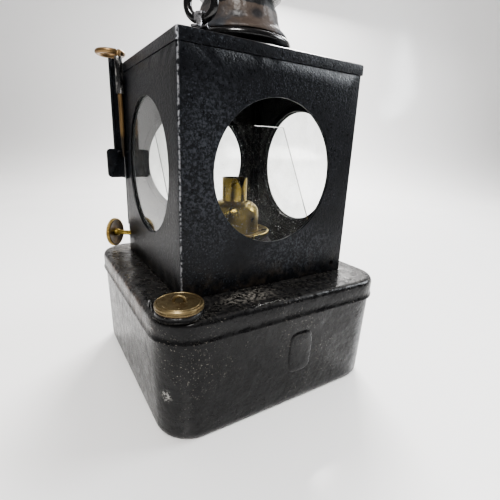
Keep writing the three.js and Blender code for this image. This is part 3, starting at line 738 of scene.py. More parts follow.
def dull_brass(tone):
    """Handled brass of the filler cap, brown in its hollows."""
    f = Finish("Filler brass")
    cloud = f.noise(190, 4, 0.65)
    speck = f.noise(900, 3, 0.6)
    colour = f.blend(f.band(cloud, 0.45, 0.70), tone, scaled(tone, 0.48, 0.42, 0.36))
    colour = f.blend(f.times(f.band(speck, 0.62, 0.7), 0.65), colour, (0.07, 0.05, 0.03))
    colour = f.blend(f.times(f.band(f.noise(700, 2, 0.5), 0.68, 0.74), 0.8), colour, (0.85, 0.72, 0.46))
    f.set(Base_Color=colour, Metallic=0.9, Roughness=f.band(cloud, 0.25, 0.75, 0.36, 0.58))
    f.set(Normal=f.bump(speck, 0.3, 0.0004))
    return f.material


def knob_brass():
    """Dark patinated knob whose ridges are worn bright."""
    f = Finish("Knob patina")
    across = f.tree.nodes.new("ShaderNodeVectorMath")
    across.operation = "SUBTRACT"
    f.put(across.inputs[0], f.where)
    across.inputs[1].default_value = tuple(KNOB)
    along = f.tree.nodes.new("ShaderNodeVectorMath")
    along.operation = "CROSS_PRODUCT"
    f.put(along.inputs[0], across.outputs[0])
    along.inputs[1].default_value = tuple(SPINDLE_AXIS)
    length = f.tree.nodes.new("ShaderNodeVectorMath")
    length.operation = "LENGTH"
    f.put(length.inputs[0], along.outputs[0])
    rim = f.band(length.outputs["Value"], 0.0098, 0.0105)
    cloud = f.noise(260, 4, 0.65)
    dark = f.blend(f.band(cloud, 0.4, 0.7), (0.045, 0.032, 0.020), (0.13, 0.088, 0.045))
    colour = f.blend(f.times(rim, f.band(cloud, 0.25, 0.6, 0.55, 1.0)), dark, (0.60, 0.45, 0.19))
    f.set(Base_Color=colour, Metallic=0.85, Roughness=f.band(cloud, 0.25, 0.75, 0.34, 0.55))
    f.set(Normal=f.bump(f.noise(800, 3, 0.6), 0.2, 0.0003))
    return f.material


def copper_wire():
    """Tan, rub-worn drop-pin wire, dark towards its foot."""
    f = Finish("Pin wire")
    cloud = f.noise(160, 4, 0.6, (1.0, 1.0, 0.3))
    colour = f.blend(f.band(cloud, 0.4, 0.7), (0.20, 0.130, 0.062), (0.10, 0.062, 0.030))
    foot = f.band(f.axis("Z"), DECK + 0.090, DECK + 0.083)
    colour = f.blend(f.times(foot, 0.9), colour, (0.02, 0.018, 0.016))
    f.set(Base_Color=colour, Metallic=0.75, Roughness=f.band(cloud, 0.25, 0.75, 0.32, 0.5))
    f.set(Normal=f.bump(f.noise(700, 3, 0.6), 0.2, 0.0003))
    return f.material


def window_glass(name="Window glass", film_most=0.05, speck_most=0.35):
    """Clear sheet glass with a film of dust."""
    f = Finish(name)
    film = f.noise(75, 5, 0.7)
    specks = f.noise(1100, 2, 0.5)
    f.set(Base_Color=f.blend(f.band(film, 0.4, 0.75), (0.97, 0.985, 0.98), (0.90, 0.91, 0.89)))
    f.set(Roughness=f.band(film, 0.45, 0.85, 0.0, 0.08), IOR=1.46, Metallic=0.0)
    dusty = f.larger(f.band(film, 0.35, 0.85, film_most * 0.3, film_most),
                     f.times(f.band(specks, 0.68, 0.74), speck_most))
    f.set(Transmission_Weight=f.maths("SUBTRACT", 1.0, dusty))
    return f.material


def woven_wick():
    """Cotton braid, charred at its top."""
    f = Finish("Woven wick")
    weave = f.cells(1400, (1.0, 1.0, 0.6))
    charred = f.band(f.axis("Z"), DECK + 0.054, DECK + 0.0565)
    colour = f.blend(f.band(weave, 0.1, 0.6), (0.62, 0.56, 0.44), (0.36, 0.31, 0.22))
    colour = f.blend(charred, colour, (0.015, 0.013, 0.012))
    f.set(Base_Color=colour, Roughness=0.95, Sheen_Weight=0.3)
    f.set(Normal=f.bump(weave, 0.6, 0.0005))
    return f.material


def cork_seal():
    """Compressed cork under the filler cap."""
    f = Finish("Cork washer")
    grain = f.cells(900)
    f.set(Base_Color=f.blend(f.band(grain, 0.1, 0.6), (0.17, 0.11, 0.06), (0.08, 0.05, 0.03)), Roughness=0.9)
    f.set(Normal=f.bump(grain, 0.5, 0.0004))
    return f.material


FINISHES = {}


def finish_named(name):
    """The shared material of that name, made on first use."""
    if name not in FINISHES:
        colours = bpy.context.scene.lamp_finish
        makers = {
            "paint": lambda: case_paint(tuple(colours.paint)),
            "enamel": lambda: reservoir_enamel(tuple(colours.enamel), tuple(colours.dust)),
            "gloss": lambda: gloss_black(tuple(colours.enamel)),
            "strap": strap_steel,
            "scraped": lambda: scraped_black(tuple(colours.enamel)),
            "sheen_brown": lambda: sheen_brown_sheet(tuple(colours.sheen_brown)),
            "brass": lambda: burner_brass(tuple(colours.brass)),
            "dull brass": lambda: dull_brass(tuple(colours.dull_brass)),
            "knob": knob_brass,
            "wire": copper_wire,
            "glass": window_glass,
            "dusty glass": lambda: window_glass("Dusty glass", 0.045, 0.9),
            "wick": woven_wick,
            "cork": cork_seal,
        }
        FINISHES[name] = makers[name]()
    return FINISHES[name]


# ---- reservoir ----------------------------------------------------------------


class LAMP_OT_reservoir(Operator):
    """Build the oil reservoir, its deck and the blank plaque"""

    bl_idname = "lamp.reservoir"
    bl_label = "Reservoir"

    def execute(self, context):
        s = context.scene.lamp_reservoir
        half = node_box("font_deck")[1].x - s.bead - 0.0011
        foot = half - 0.0013
        top = DECK - s.rim - 0.0003
        rings = []
        for a in spread(0, math.pi / 2, 6):
            inset = s.fillet * (1 - math.sin(a))
            rings.append(square_ring(foot - inset, max(s.corner - inset, 0.004), s.fillet * (1 - math.cos(a))))
        for i in range(1, 9):
            t = i / 8
            rings.append(square_ring(foot + (half - foot) * t, s.corner, s.fillet + (top - s.fillet) * t))
        body = skin("reservoir_body", rings)
        smooth(body, 50)
        cloud = bpy.data.textures.new("Reservoir waves", "CLOUDS")
        cloud.noise_scale = 0.05
        wave = body.modifiers.new("Beaten sheet", "DISPLACE")
        wave.texture = cloud
        wave.strength = 0.0004
        wave.mid_level = 0.5
        wave.texture_coords = "LOCAL"
        finish(body, "enamel", "lamp_body", ("font_shell",))

        out = half + 0.0011
        base = DECK - s.rim
        rings = [
            square_ring(half - 0.0002, s.corner, base),
            square_ring(out - 0.0002, s.corner + 0.0009, base),
            square_ring(out + s.bead, s.corner + 0.0015, base + 0.0004),
            square_ring(out + s.bead, s.corner + 0.0015, base + 0.0013),
            square_ring(out, s.corner + 0.0011, base + 0.0019),
            square_ring(out - 0.0001, s.corner + 0.0010, base + 0.0050),
            square_ring(out, s.corner + 0.0011, DECK - 0.0032),
            square_ring(out - 0.0004, s.corner + 0.0007, DECK - 0.0018),
            square_ring(out - 0.0012, s.corner, DECK - 0.0007),
            square_ring(out - 0.0026, s.corner - 0.0014, DECK - 0.00012),
            square_ring(out - 0.0042, s.corner - 0.0028, DECK),
            square_ring(out - 0.0140, s.corner - 0.0100, DECK - 0.0001),
        ]
        deck = skin("reservoir_deck", rings)
        smooth(deck, 50)
        finish(deck, "enamel", "lamp_body", ("font_deck",))

        width, height = s.plaque
        at = Vector((0.008, 0, 0.038))

        def face(z):
            return -(foot + (half - foot) * (z - s.fillet) / (top - s.fillet))

        rings = []
        for grow, out_by in ((1.08, -0.0004), (1.03, 0.00012), (0.97, 0.0006), (0.90, 0.0008), (0.5, 0.00085)):
            ring = []
            for a in round_circle(48):
                c = math.copysign(abs(math.cos(a)) ** 0.5, math.cos(a))
                q = math.copysign(abs(math.sin(a)) ** 0.5, math.sin(a))
                x = at.x + grow * width / 2 * c
                z = at.z + grow * height / 2 * q
                ring.append(Vector((x, face(z) - out_by, z)))
            rings.append(ring)
        plaque = skin("reservoir_plaque", rings)
        smooth(plaque, 60)
        finish(plaque, "enamel", "lamp_body", ())
        return {"FINISHED"}


# ---- filler -------------------------------------------------------------------


class LAMP_OT_filler(Operator):
    """Build the filler neck, staple, washer and screw cap"""

    bl_idname = "lamp.filler"
    bl_label = "Filler"

    def execute(self, context):
        steps = context.scene.lamp_fitting.turn_steps
        place = upright_place((CAP.x, CAP.y, 0))
        neck = raised([(8.6, 2.5), (12, 2.5), (12.5, 2), (12.5, 0.8), (12.8, 0.3), (13.5, 0.1), (8.6, 0.1)])
        piece = turned("filler_neck_ring", neck, place, steps, closed=True)
        finish(piece, "enamel", "lamp_body", ("filler_neck",))

        cap = raised([(0, 6.3), (3.5, 6.3), (9, 6.2), (10.6, 6.1), (10.9, 5.7), (11.3, 5.7), (11.6, 6.1),
                      (12.1, 6), (12.55, 5.5), (12.6, 4.6), (12.25, 4.4), (12.25, 4.1), (12.6, 3.9),
                      (12.6, 3.4), (12.2, 3.2), (8.3, 3.2), (8.3, -3.2), (7.8, -3.9), (0, -3.9)])
        piece = turned("filler_cap_disc", cap, place, steps)
        finish(piece, "dull brass", "filler_screw_cap", ("filler_cap",))

        half_turn = [(math.cos(a), math.sin(a)) for a in spread(0, math.pi, 8)]
        points = [Vector((CAP.x + 0.0026 * c, CAP.y - 0.0016 * c, DECK + 0.0060 + 0.0030 * q))
                  for c, q in half_turn]
        eye = tube("filler_cap_loop", points, 0.0009)
        finish(eye, "dull brass", "filler_screw_cap", ("cap_eye",))

        middle = mid("neck_staple")
        points = [Vector((middle.x, middle.y + 0.0029 * c, DECK + 0.0002 + 0.0044 * q))
                  for c, q in half_turn]
        staple = tube("neck_wire_staple", points, 0.0007)
        finish(staple, "gloss", "lamp_body", ("neck_staple",))
        dress("cap_seal", "cork")
        return {"FINISHED"}


# ---- case ---------------------------------------------------------------------


def around(corners, steps):
    """Points along the sides of a closed outline, with equal steps on each side."""
    points = []
    for (ax, ay), (bx, by) in zip(corners, corners[1:] + corners[:1]):
        for i in range(steps):
            share = i / steps
            points.append((ax + (bx - ax) * share, ay + (by - ay) * share))
    return points


def panel_points(origin, along, span, z0, z1, centre_s, centre_z, radius, steps):
    """Faces of a wall panel with a round hole, as lists of corner points."""
    rim = around([(0.0, z0), (span, z0), (span, z1), (0.0, z1)], steps)
    rings = []
    for share in (0.0, 0.015, 0.12, 0.35, 0.65, 1.0):
        ring = []
        for s, h in rim:
            a = math.atan2(h - centre_z, s - centre_s)
            cs = centre_s + radius * math.cos(a)
            ch = centre_z + radius * math.sin(a)
            ring.append(origin + along * (cs + (s - cs) * share) + AXIS_Z * (ch + (h - ch) * share))
        rings.append(ring)
    faces = []
    count = len(rim)
    for inner, outer in zip(rings, rings[1:]):
        for i in range(count):
            j = (i + 1) % count
            faces.append((inner[i], outer[i], outer[j], inner[j]))
    return faces


def fold_points(column_xy, heights):
    """Faces of an upright folded strip through plan points."""
    faces = []
    for (ax, ay), (bx, by) in zip(column_xy, column_xy[1:]):
        for h0, h1 in zip(heights, heights[1:]):
            outline = ((ax, ay, h0), (bx, by, h0), (bx, by, h1), (ax, ay, h1))
            faces.append([Vector(corner) for corner in outline])
    return faces


def sheet_from(name, faces, inside):
    """Sheet object from loose faces, facing away from an inner point."""
    verts = []
    index = []
    for face in faces:
        index.append(tuple(range(len(verts), len(verts) + len(face))))
        verts.extend(face)
    obj = mesh_object(name, verts, index)
    weld(obj, 0.000005)
    bm = bmesh.new()
    bm.from_mesh(obj.data)
    bm.faces.ensure_lookup_table()
    facing = sum((f.calc_center_median() - inside).dot(f.normal) * f.calc_area() for f in bm.faces)
    if facing < 0:
        bmesh.ops.reverse_faces(bm, faces=bm.faces)
    bm.to_mesh(obj.data)
    bm.free()
    return obj


def arc_plan(cx, cy, radius, start, end, steps=5):
    """Plan points along an arc, angles in degrees."""
    return [(cx + radius * math.cos(math.radians(a)), cy + radius * math.sin(math.radians(a)))
            for a in spread(start, end, steps)]


def bezel(node, along, body):
    """Flat ring behind a window, in place of its frame node."""
    t = 0.0015
    ring = [(0.0412, t / 2 - 0.0003), (0.0415, t / 2), (0.0455, t / 2), (0.0460, t / 2 - 0.0004),
            (0.0460, -t / 2 + 0.0004), (0.0455, -t / 2), (0.0415, -t / 2), (0.0412, -t / 2 + 0.0003)]
    piece = turned(node + "_ring", ring, upright_place(mid(node), along), 96, closed=True)
    finish(piece, "paint", body, (node,))


class LAMP_OT_case(Operator):
    """Build the folded case walls, roof, bezels and foot frame"""

    bl_idname = "lamp.case"
    bl_label = "Case"

    def execute(self, context):
        s = context.scene.lamp_case
        x0, y0, z0 = CASE_LOW
        x1, y1 = CASE_HIGH.xy
        z1 = WALL_TOP
        r = s.fold
        heights = spread(z0, z1, s.steps)
        wz = WINDOW.z
        faces = panel_points(Vector((x0 + r, y0, 0)), Vector((1, 0, 0)), x1 - x0 - 2 * r, z0, z1,
                             WINDOW.x - x0 - r, wz, s.window, s.steps)
        for x in (x0, x1):
            faces += panel_points(Vector((x, y0 + r, 0)), Vector((0, 1, 0)), y1 - y0 - 2 * r, z0, z1,
                                  WINDOW.y - y0 - r, wz, s.window, s.steps)
        faces += fold_points(arc_plan(x0 + r, y0 + r, r, 180, 270), heights)
        faces += fold_points(arc_plan(x1 - r, y0 + r, r, 270, 360), heights)
        faces += fold_points(arc_plan(x0 + r, y1 - r, r, 180, 90) + [(x0 + 0.006, y1)], heights)
        faces += fold_points(arc_plan(x1 - r, y1 - r, r, 0, 90) + [(x1 - 0.006, y1)], heights)
        walls = sheet_from("case_sheet", faces, Vector((WINDOW.x, WINDOW.y, wz)))
        add_thickness(walls, s.sheet)
        add_bevel(walls, 0.00025, 2, 50)
        screw = rod_solid("cut_screw", (SCREW_SIDE, y0 - 0.003, SCREW_HEIGHT),
                          (SCREW_SIDE, y0 + 0.004, SCREW_HEIGHT), 0.0016)
        far = SPINDLE_AT - SPINDLE_AXIS * 0.020
        near = SPINDLE_AT - SPINDLE_AXIS * 0.003
        slot = rod_solid("cut_spindle", far, near, 0.00235)
        walls = cut_away(walls, [screw, slot])
        finish(walls, "paint", "lamp_body", ("case_walls",))

        self.roof(s)

        for node, along in (("bezel_front", (0, 1, 0)), ("bezel_left", (1, 0, 0)), ("bezel_right", (1, 0, 0))):
            bezel(node, along, "lamp_body")
        dress("foot_frame", "paint")
        return {"FINISHED"}

    def roof(self, s):
        """Low pyramid with a folded skirt and a round flue hole."""
        x0, y0 = ROOF_LOW.x, ROOF_LOW.y
        x1, y1 = ROOF_HIGH.x, ROOF_HIGH.y
        edge = ROOF_LOW.z + s.skirt

        def perimeter(inset, z):
            low_x, low_y, high_x, high_y = x0 + inset, y0 + inset, x1 - inset, y1 - inset
            own = [(low_x, low_y), (high_x, low_y), (high_x, high_y), (low_x, high_y)]
            return [Vector((x, y, z)) for x, y in around(own, 18)]

        rings = [perimeter(0.0, ROOF_LOW.z), perimeter(0.0, edge - 0.0012), perimeter(0.0003, edge - 0.0004),
                 perimeter(0.0012, edge + 0.0001)]
        for inset in (0.010, 0.020, 0.026):
            rings.append(perimeter(inset, edge + inset * s.slope))
        last = rings[-1]
        circle = []
        for p in last:
            a = math.atan2(p.y - STACK.y, p.x - STACK.x)
            circle.append(Vector((STACK.x + FLUE_RADIUS * math.cos(a), STACK.y + FLUE_RADIUS * math.sin(a), 0)))
        for share in (0.5, 1.0):
            ring = []
            for p, c in zip(last, circle):
                x = p.x + (c.x - p.x) * share
                y = p.y + (c.y - p.y) * share
                deep = min(x - x0, x1 - x, y - y0, y1 - y, ROOF_DEPTH)
                ring.append(Vector((x, y, edge + deep * s.slope)))
            rings.append(ring)
        verts, faces = stitched(rings, capped=False)
        roof = mesh_object("roof_sheet", verts, faces)
        weld(roof, 0.000005, False)
        bm = bmesh.new()
        bm.from_mesh(roof.data)
        upward = sum(f.normal.z * f.calc_area() for f in bm.faces)
        if upward < 0:
            bmesh.ops.reverse_faces(bm, faces=bm.faces)
        bm.to_mesh(roof.data)
        bm.free()
        smooth(roof, 30)
        add_thickness(roof, s.sheet)
        add_bevel(roof, 0.0003, 2, 50)
        finish(roof, "paint", "lamp_body", ("case_roof",))


class LAMP_OT_glass(Operator):
    """Give the panes their glass"""

    bl_idname = "lamp.glass"
    bl_label = "Glass"

    def execute(self, context):
        for node in ("pane_left", "pane_right", "pane_rear"):
            dress(node, "glass")
        dress("pane_front_loose", "dusty glass")
        return {"FINISHED"}


# ---- burner -------------------------------------------------------------------


class LAMP_OT_burner(Operator):
    """Build the burner's seat, flange, dome and wick tube"""

    bl_idname = "lamp.burner"
    bl_label = "Burner"

    def execute(self, context):
        steps = context.scene.lamp_fitting.turn_steps
        place = upright_place((BURNER.x, BURNER.y, 0))
        seat = raised([(11, 21.7), (24.5, 21.7), (25.2, 20.5), (25.8, 18.5), (28.5, 15), (31.8, 10), (33.4, 5),
                       (34, 0.4), (33, 0.4), (32.4, 5), (30.8, 9.6), (27.6, 14.2), (24.8, 17.6), (24.2, 20.5),
                       (11, 20.7)])
        piece = turned("burner_seat_dome", seat, place, steps, closed=True)
        slot = rod_solid("cut_seat", SPINDLE_AT - SPINDLE_AXIS * 0.080,
                         SPINDLE_AT - SPINDLE_AXIS * 0.055, 0.0023)
        piece = cut_away(piece, [slot])
        finish(piece, "sheen_brown", "lamp_body", ("burner_seat",))
        flange = raised([(10, 24), (20, 24), (23.6, 24.3), (24.6, 24.8), (25.2, 24.7), (25.5, 24.1),
                         (25.5, 23), (25.1, 22.2), (24.6, 22), (10, 22)])
        piece = turned("burner_gallery", flange, place, steps, closed=True)
        finish(piece, "brass", "lamp_body", ("burner_flange",))
        dome = raised([(8.8, 45.2), (10, 45), (12.8, 44), (15.2, 42.2), (16.8, 39.8), (17.5, 36.6),
                       (17.5, 26.2), (17.8, 25.6), (17.8, 24.6), (16.5, 24.6), (16.5, 36.6), (15.6, 39.8),
                       (14, 42), (12, 43.3), (8.8, 44.1)])
        piece = turned("burner_dome_shell", dome, place, steps, closed=True)
        finish(piece, "brass", "lamp_body", ("burner_dome",))
        pipe = raised([(7.9, 61), (8.5, 61), (8.6, 60.6), (8.6, 46), (8.6, 24.7), (7.8, 24.7), (7.8, 60.6)])
        piece = turned("burner_tube_shell", pipe, place, steps, closed=True)
        c = Vector((BURNER.x, BURNER.y, 0))
        top = DECK + 0.0612
        notch = [(-0.0034, top), (0.0040, top), (0.0003, top - 0.0072)]
        rings = [[c + Vector((x, y, z)) for x, z in notch] for y in (-0.003, -0.012)]
        piece = cut_away(piece, [skin("cut_notch", rings)])
        finish(piece, "brass", "lamp_body", ("wick_tube",))
        dress("wick", "wick")
        return {"FINISHED"}


class LAMP_OT_wick_drive(Operator):
    """Build the wick spindle with its knurled knob and collar"""

    bl_idname = "lamp.wick_drive"
    bl_label = "Wick drive"

    def execute(self, context):
        s = context.scene.lamp_fitting
        place = upright_place(SPINDLE_AT, SPINDLE_AXIS)
        count = s.knurls
        rings = []
        half = [(0.0030, 0.0, 0.00115), (0.0085, 0.0, 0.00105), (0.0092, 0.0, 0.0015),
                (0.0100, 0.0, 0.0015), (0.0105, 0.00035, 0.0012)]
        for radius, depth, height in half + [(r, knurl, -h) for r, knurl, h in reversed(half)]:
            ring = []
            for a in round_circle(count * 4):
                out = radius + depth * math.cos(a * count)
                ring.append(place @ Vector((out * math.cos(a), out * math.sin(a), height)))
            rings.append(ring)
        knob = skin("knurled_knob", rings)
        smooth(knob, 45)
        finish(knob, "knob", "wick_drive", ("wick_knob",))
        low, high = node_box("wick_spindle")
        end = 0.0015 - (high - low).length
        rod = [(0.0, 0.0036), (0.0013, 0.0035), (0.0017, 0.0030), (0.0017, 0.0011), (0.0030, 0.0010),
               (0.0030, -0.0011), (0.0026, -0.0030), (0.00175, -0.0033), (0.00175, end), (0.0, end)]
        piece = turned("wick_spindle_rod", rod, place, 32)
        finish(piece, "brass", "wick_drive", ("wick_spindle",))
        dress("spur_wheel", "brass")
        dress("spindle_bush", "paint")
        return {"FINISHED"}


# ---- rear door ----------------------------------------------------------------


class LAMP_OT_door(Operator):
    """Build the rear door with its wing, tab, hinge and bezel"""

    bl_idname = "lamp.door"
    bl_label = "Rear door"

    def execute(self, context):
        s = context.scene.lamp_case
        x0, x1 = CASE_LOW.x, CASE_HIGH.x
        low, high = node_box("door_panel")
        y_back = high.y
        z0, z1 = low.z, DOOR_TOP
        faces = panel_points(Vector((x0, y_back, 0)), Vector((1, 0, 0)), x1 - x0, z0, z1,
                             WINDOW.x - x0, WINDOW.z, s.window, s.steps)
        panel = sheet_from("door_sheet", faces, Vector((WINDOW.x, WINDOW.y, WINDOW.z)))
        add_thickness(panel, s.sheet)
        corner = slab("cut_corner", (x0 - 0.004, y_back - 0.003, DECK - 0.001),
                      (x0 + 0.009, y_back + 0.001, DECK + 0.020), 0)
        panel = cut_away(panel, [corner])
        add_bevel(panel, 0.00025, 2, 50)
        finish(panel, "paint", "rear_door", ("door_panel",))

        lip_x = x0 - 0.0015
        wing_y = y_back - 0.0029
        wing_x = x0 - 0.0060
        front, back = wing_y - 0.0005, wing_y + 0.0005
        pieces = [
            slab("lip", (lip_x, CASE_HIGH.y - 0.0076, DECK + 0.056), (lip_x + s.sheet, y_back, z1)),
            slab("wrap", (lip_x, y_back - s.sheet, DECK + 0.056), (x0 + 0.0006, y_back, z1)),
            slab("web", (wing_x, front, DECK + 0.0768), (lip_x + 0.0004, back, z1), 0.0002),
            slab("web_top", (wing_x, front, DECK + 0.1255), (x0 - 0.0022, back, DECK + 0.1365), 0.0002),
        ]
        roll = tube("roll", [Vector((x0 - 0.0062, wing_y, DECK + z * MM)) for z in (76.8, 98, 118, 136.4)],
                    0.0012)
        wing = joined("door_wing", pieces + [roll])
        finish(wing, "paint", "rear_door", ())

        tab_low, tab_high = node_box("door_tab")
        y0 = CASE_HIGH.y - 0.0066
        outline = [(tab_low.x + 0.0022, 57), (tab_high.x, 57), (tab_high.x, 77), (tab_low.x + 0.0022, 77),
                   (tab_low.x + 0.0007, 76.3), (tab_low.x, 74.8), (tab_low.x, 59.2), (tab_low.x + 0.0007, 57.7)]
        plate = skin("plate", [[Vector((x, y, DECK + z * MM)) for x, z in outline] for y in (y0, y0 + 0.0016)])
        add_bevel(plate, 0.0003, 2)
        plate = settle(plate)
        curl = arc_plan(PIN.x, PIN.y + 0.0012, 0.0032, -20, 200, 8)
        hook = tube("hook", [Vector((x, y, DECK + 0.0750)) for x, y in curl], 0.0009)
        stem = slab("stem", (PIN.x - 0.0028, PIN.y + 0.0044, DECK + 0.0738),
                    (tab_high.x, y0 + 0.0006, DECK + 0.0762))
        tab = joined("door_latch_tab", [plate, hook, stem])
        finish(tab, "paint", "rear_door", ("door_tab",))

        bezel("bezel_rear", (0, 1, 0), "rear_door")

        for side, body in (("case", "lamp_body"), ("door", "rear_door")):
            for level in ("low", "high"):
                node = f"{side}_knuckle_{level}"
                finish(self.knuckle(node, side == "door"), "paint", body, (node,))
        dress("hinge_pin", "gloss")
        return {"FINISHED"}

    def knuckle(self, node, on_door):
        """A rolled barrel with its leaf and two rivet heads."""
        low, high = node_box(node)
        place = upright_place((HINGE.x, HINGE.y, 0))
        z0, z1 = low.z, high.z
        barrel = [(KNUCKLE_BORE, z1), (0.0024, z1), (0.0026, z1 - 0.0002), (0.0026, z0 + 0.0002),
                  (0.0024, z0), (KNUCKLE_BORE, z0)]
        parts = [turned("barrel", barrel, place, 36, closed=True)]
        if on_door:
            outer = CASE_HIGH.y + 0.0028
            parts.append(slab("leaf", (low.x, CASE_HIGH.y + 0.0018, z0), (HINGE.x - 0.0018, outer, z1)))
            x, y, axis = low.x + 0.004, outer, (0, 1, 0)
        else:
            outer = CASE_HIGH.x + 0.0013
            parts.append(slab("leaf", (CASE_HIGH.x + 0.0003, low.y, z0), (outer, HINGE.y - 0.0018, z1)))
            x, y, axis = outer, low.y + 0.004, (1, 0, 0)
        head = [(0.0, 0.0007), (0.0006, 0.00062), (0.0011, 0.0003), (0.0013, 0.0),
                (0.0013, -0.0003), (0.0, -0.0003)]
        for z in (z0 + 0.0032, z1 - 0.0032):
            parts.append(turned("rivet", head, upright_place((x, y, z), axis), 20))
        return joined(node + "_leaf", parts)


class LAMP_OT_drop_pin(Operator):
    """Build the drop pin, its ring and its guide tube"""

    bl_idname = "lamp.drop_pin"
    bl_label = "Drop pin"

    def execute(self, context):
        s = context.scene.lamp_fitting
        low, high = node_box("drop_rod")
        x, y = PIN.x, PIN.y
        away = Vector((PIN_RING.x - x, PIN_RING.y - y, 0)).normalized()
        ring_low, ring_high = node_box("drop_ring")
        ring_r = (ring_high.x - ring_low.x) / 2 - s.pin_wire
        start = math.atan2(-away.y, -away.x)
        points = [Vector((x, y, z)) for z in (low.z + 0.0008, low.z + 0.020, low.z + 0.045, high.z - 0.004)]
        rod = tube("pin_rod", points, s.pin_wire, radii=[0.55, 1.0, 1.0, 1.0])
        neck = [Vector((x, y, high.z - 0.0045)), Vector((x, y, high.z - 0.002)) + away * 0.0002]
        loop = [PIN_RING + Vector((ring_r * math.cos(a), ring_r * math.sin(a), 0.0))
                for a in spread(start + math.radians(4), start + math.radians(350), 16)]
        ring = tube("pin_loop", neck + loop, s.pin_wire)
        pin = joined("drop_pin_wire", [rod, ring])
        finish(pin, "wire", "drop_pin", ("drop_rod", "drop_ring"))
        z0, z1 = (corner.z for corner in node_box("rod_tube"))
        guide = turned("pin_guide", [(0.00172, z1), (0.0023, z1), (0.0025, z1 - 0.0004), (0.00247, z1 - 0.004),
                                     (0.0025, z0 + 0.0004), (0.0023, z0), (0.00172, z0)],
                       upright_place((x, y, 0)), 36, closed=True)
        finish(guide, "scraped", "lamp_body", ("rod_tube",))
        return {"FINISHED"}


# ---- chimney and bail ---------------------------------------------------------


class LAMP_OT_chimney(Operator):
    """Build the chimney ring, dented drum, cowl and cap"""

    bl_idname = "lamp.chimney"
    bl_label = "Chimney"

    def execute(self, context):
        s = context.scene.lamp_fitting
        steps = s.turn_steps
        place = upright_place((STACK.x, STACK.y, 0))
        ring = [(24, 145.2), (30.6, 145.2), (31.8, 144.9), (32.7, 144),
                (33, 142.8), (32.7, 141.6), (31.8, 140.5), (30.6, 140),
                (30, 138.5), (24, 140.5)]
        piece = turned("chimney_bead", raised(ring), place, steps, closed=True)
        finish(piece, "gloss", "lamp_body", ("chimney_ring",))

        outer = [(20.4, 168.0), (20.6, 166.6), (21.7, 164.8), (23.6, 162.4), (24.6, 159.0), (25.1, 155.5),
                 (26, 152.4), (27.7, 149.9), (29.8, 148.2), (30.9, 147.0), (31, 145.6)]
        inner = [(29.9, 145.6), (29.8, 146.8), (27, 149.2), (25, 152.0), (24.1, 155.3), (23.6, 158.8),
                 (22.6, 161.8), (20.6, 164.3), (19.5, 166.4), (19.3, 168.0)]
        drum = turned("chimney_drum_shell", raised(outer + inner), place, steps, closed=True,
                      dent=(s.dents, 0.011))
        finish(drum, "sheen_brown", "lamp_body", ("chimney_drum",))

        band = [(24.2, 181.0), (25.2, 181.0), (25.8, 180.6), (26, 180.0), (26, 170.2), (25.8, 169.2),
                (25, 168.4), (18.6, 168.3), (18.6, 169.3), (24.6, 169.5), (24.9, 170.2), (24.9, 180.0)]
        piece = turned("cowl_band", raised(band), place, steps, closed=True)
        vents = []
        at = Vector((STACK.x, STACK.y, DECK + 0.1748))
        for i, a in enumerate(round_circle(6)):
            way = Vector((math.cos(a + math.pi / 6), math.sin(a + math.pi / 6), 0))
            vents.append(rod_solid(f"cut_vent_{i}", at + way * 0.020, at + way * 0.030, 0.0026))
        piece = cut_away(piece, vents)
        finish(piece, "gloss", "lamp_body", ("chimney_cowl",))

        lid = [(0, 189.8), (3, 189.7), (12, 188.6), (20, 186.9), (24.5, 185.3), (27, 183.7),
               (27.8, 182.6), (27.7, 181.6), (27.2, 181.3), (26.5, 181.4), (26.2, 182.4), (23.6, 184.1),
               (19, 185.7), (11.5, 187.3), (3, 188.4), (0, 188.5)]
        piece = turned("cowl_lid", raised(lid), place, steps)
        finish(piece, "gloss", "lamp_body", ("chimney_cap",))
        return {"FINISHED"}


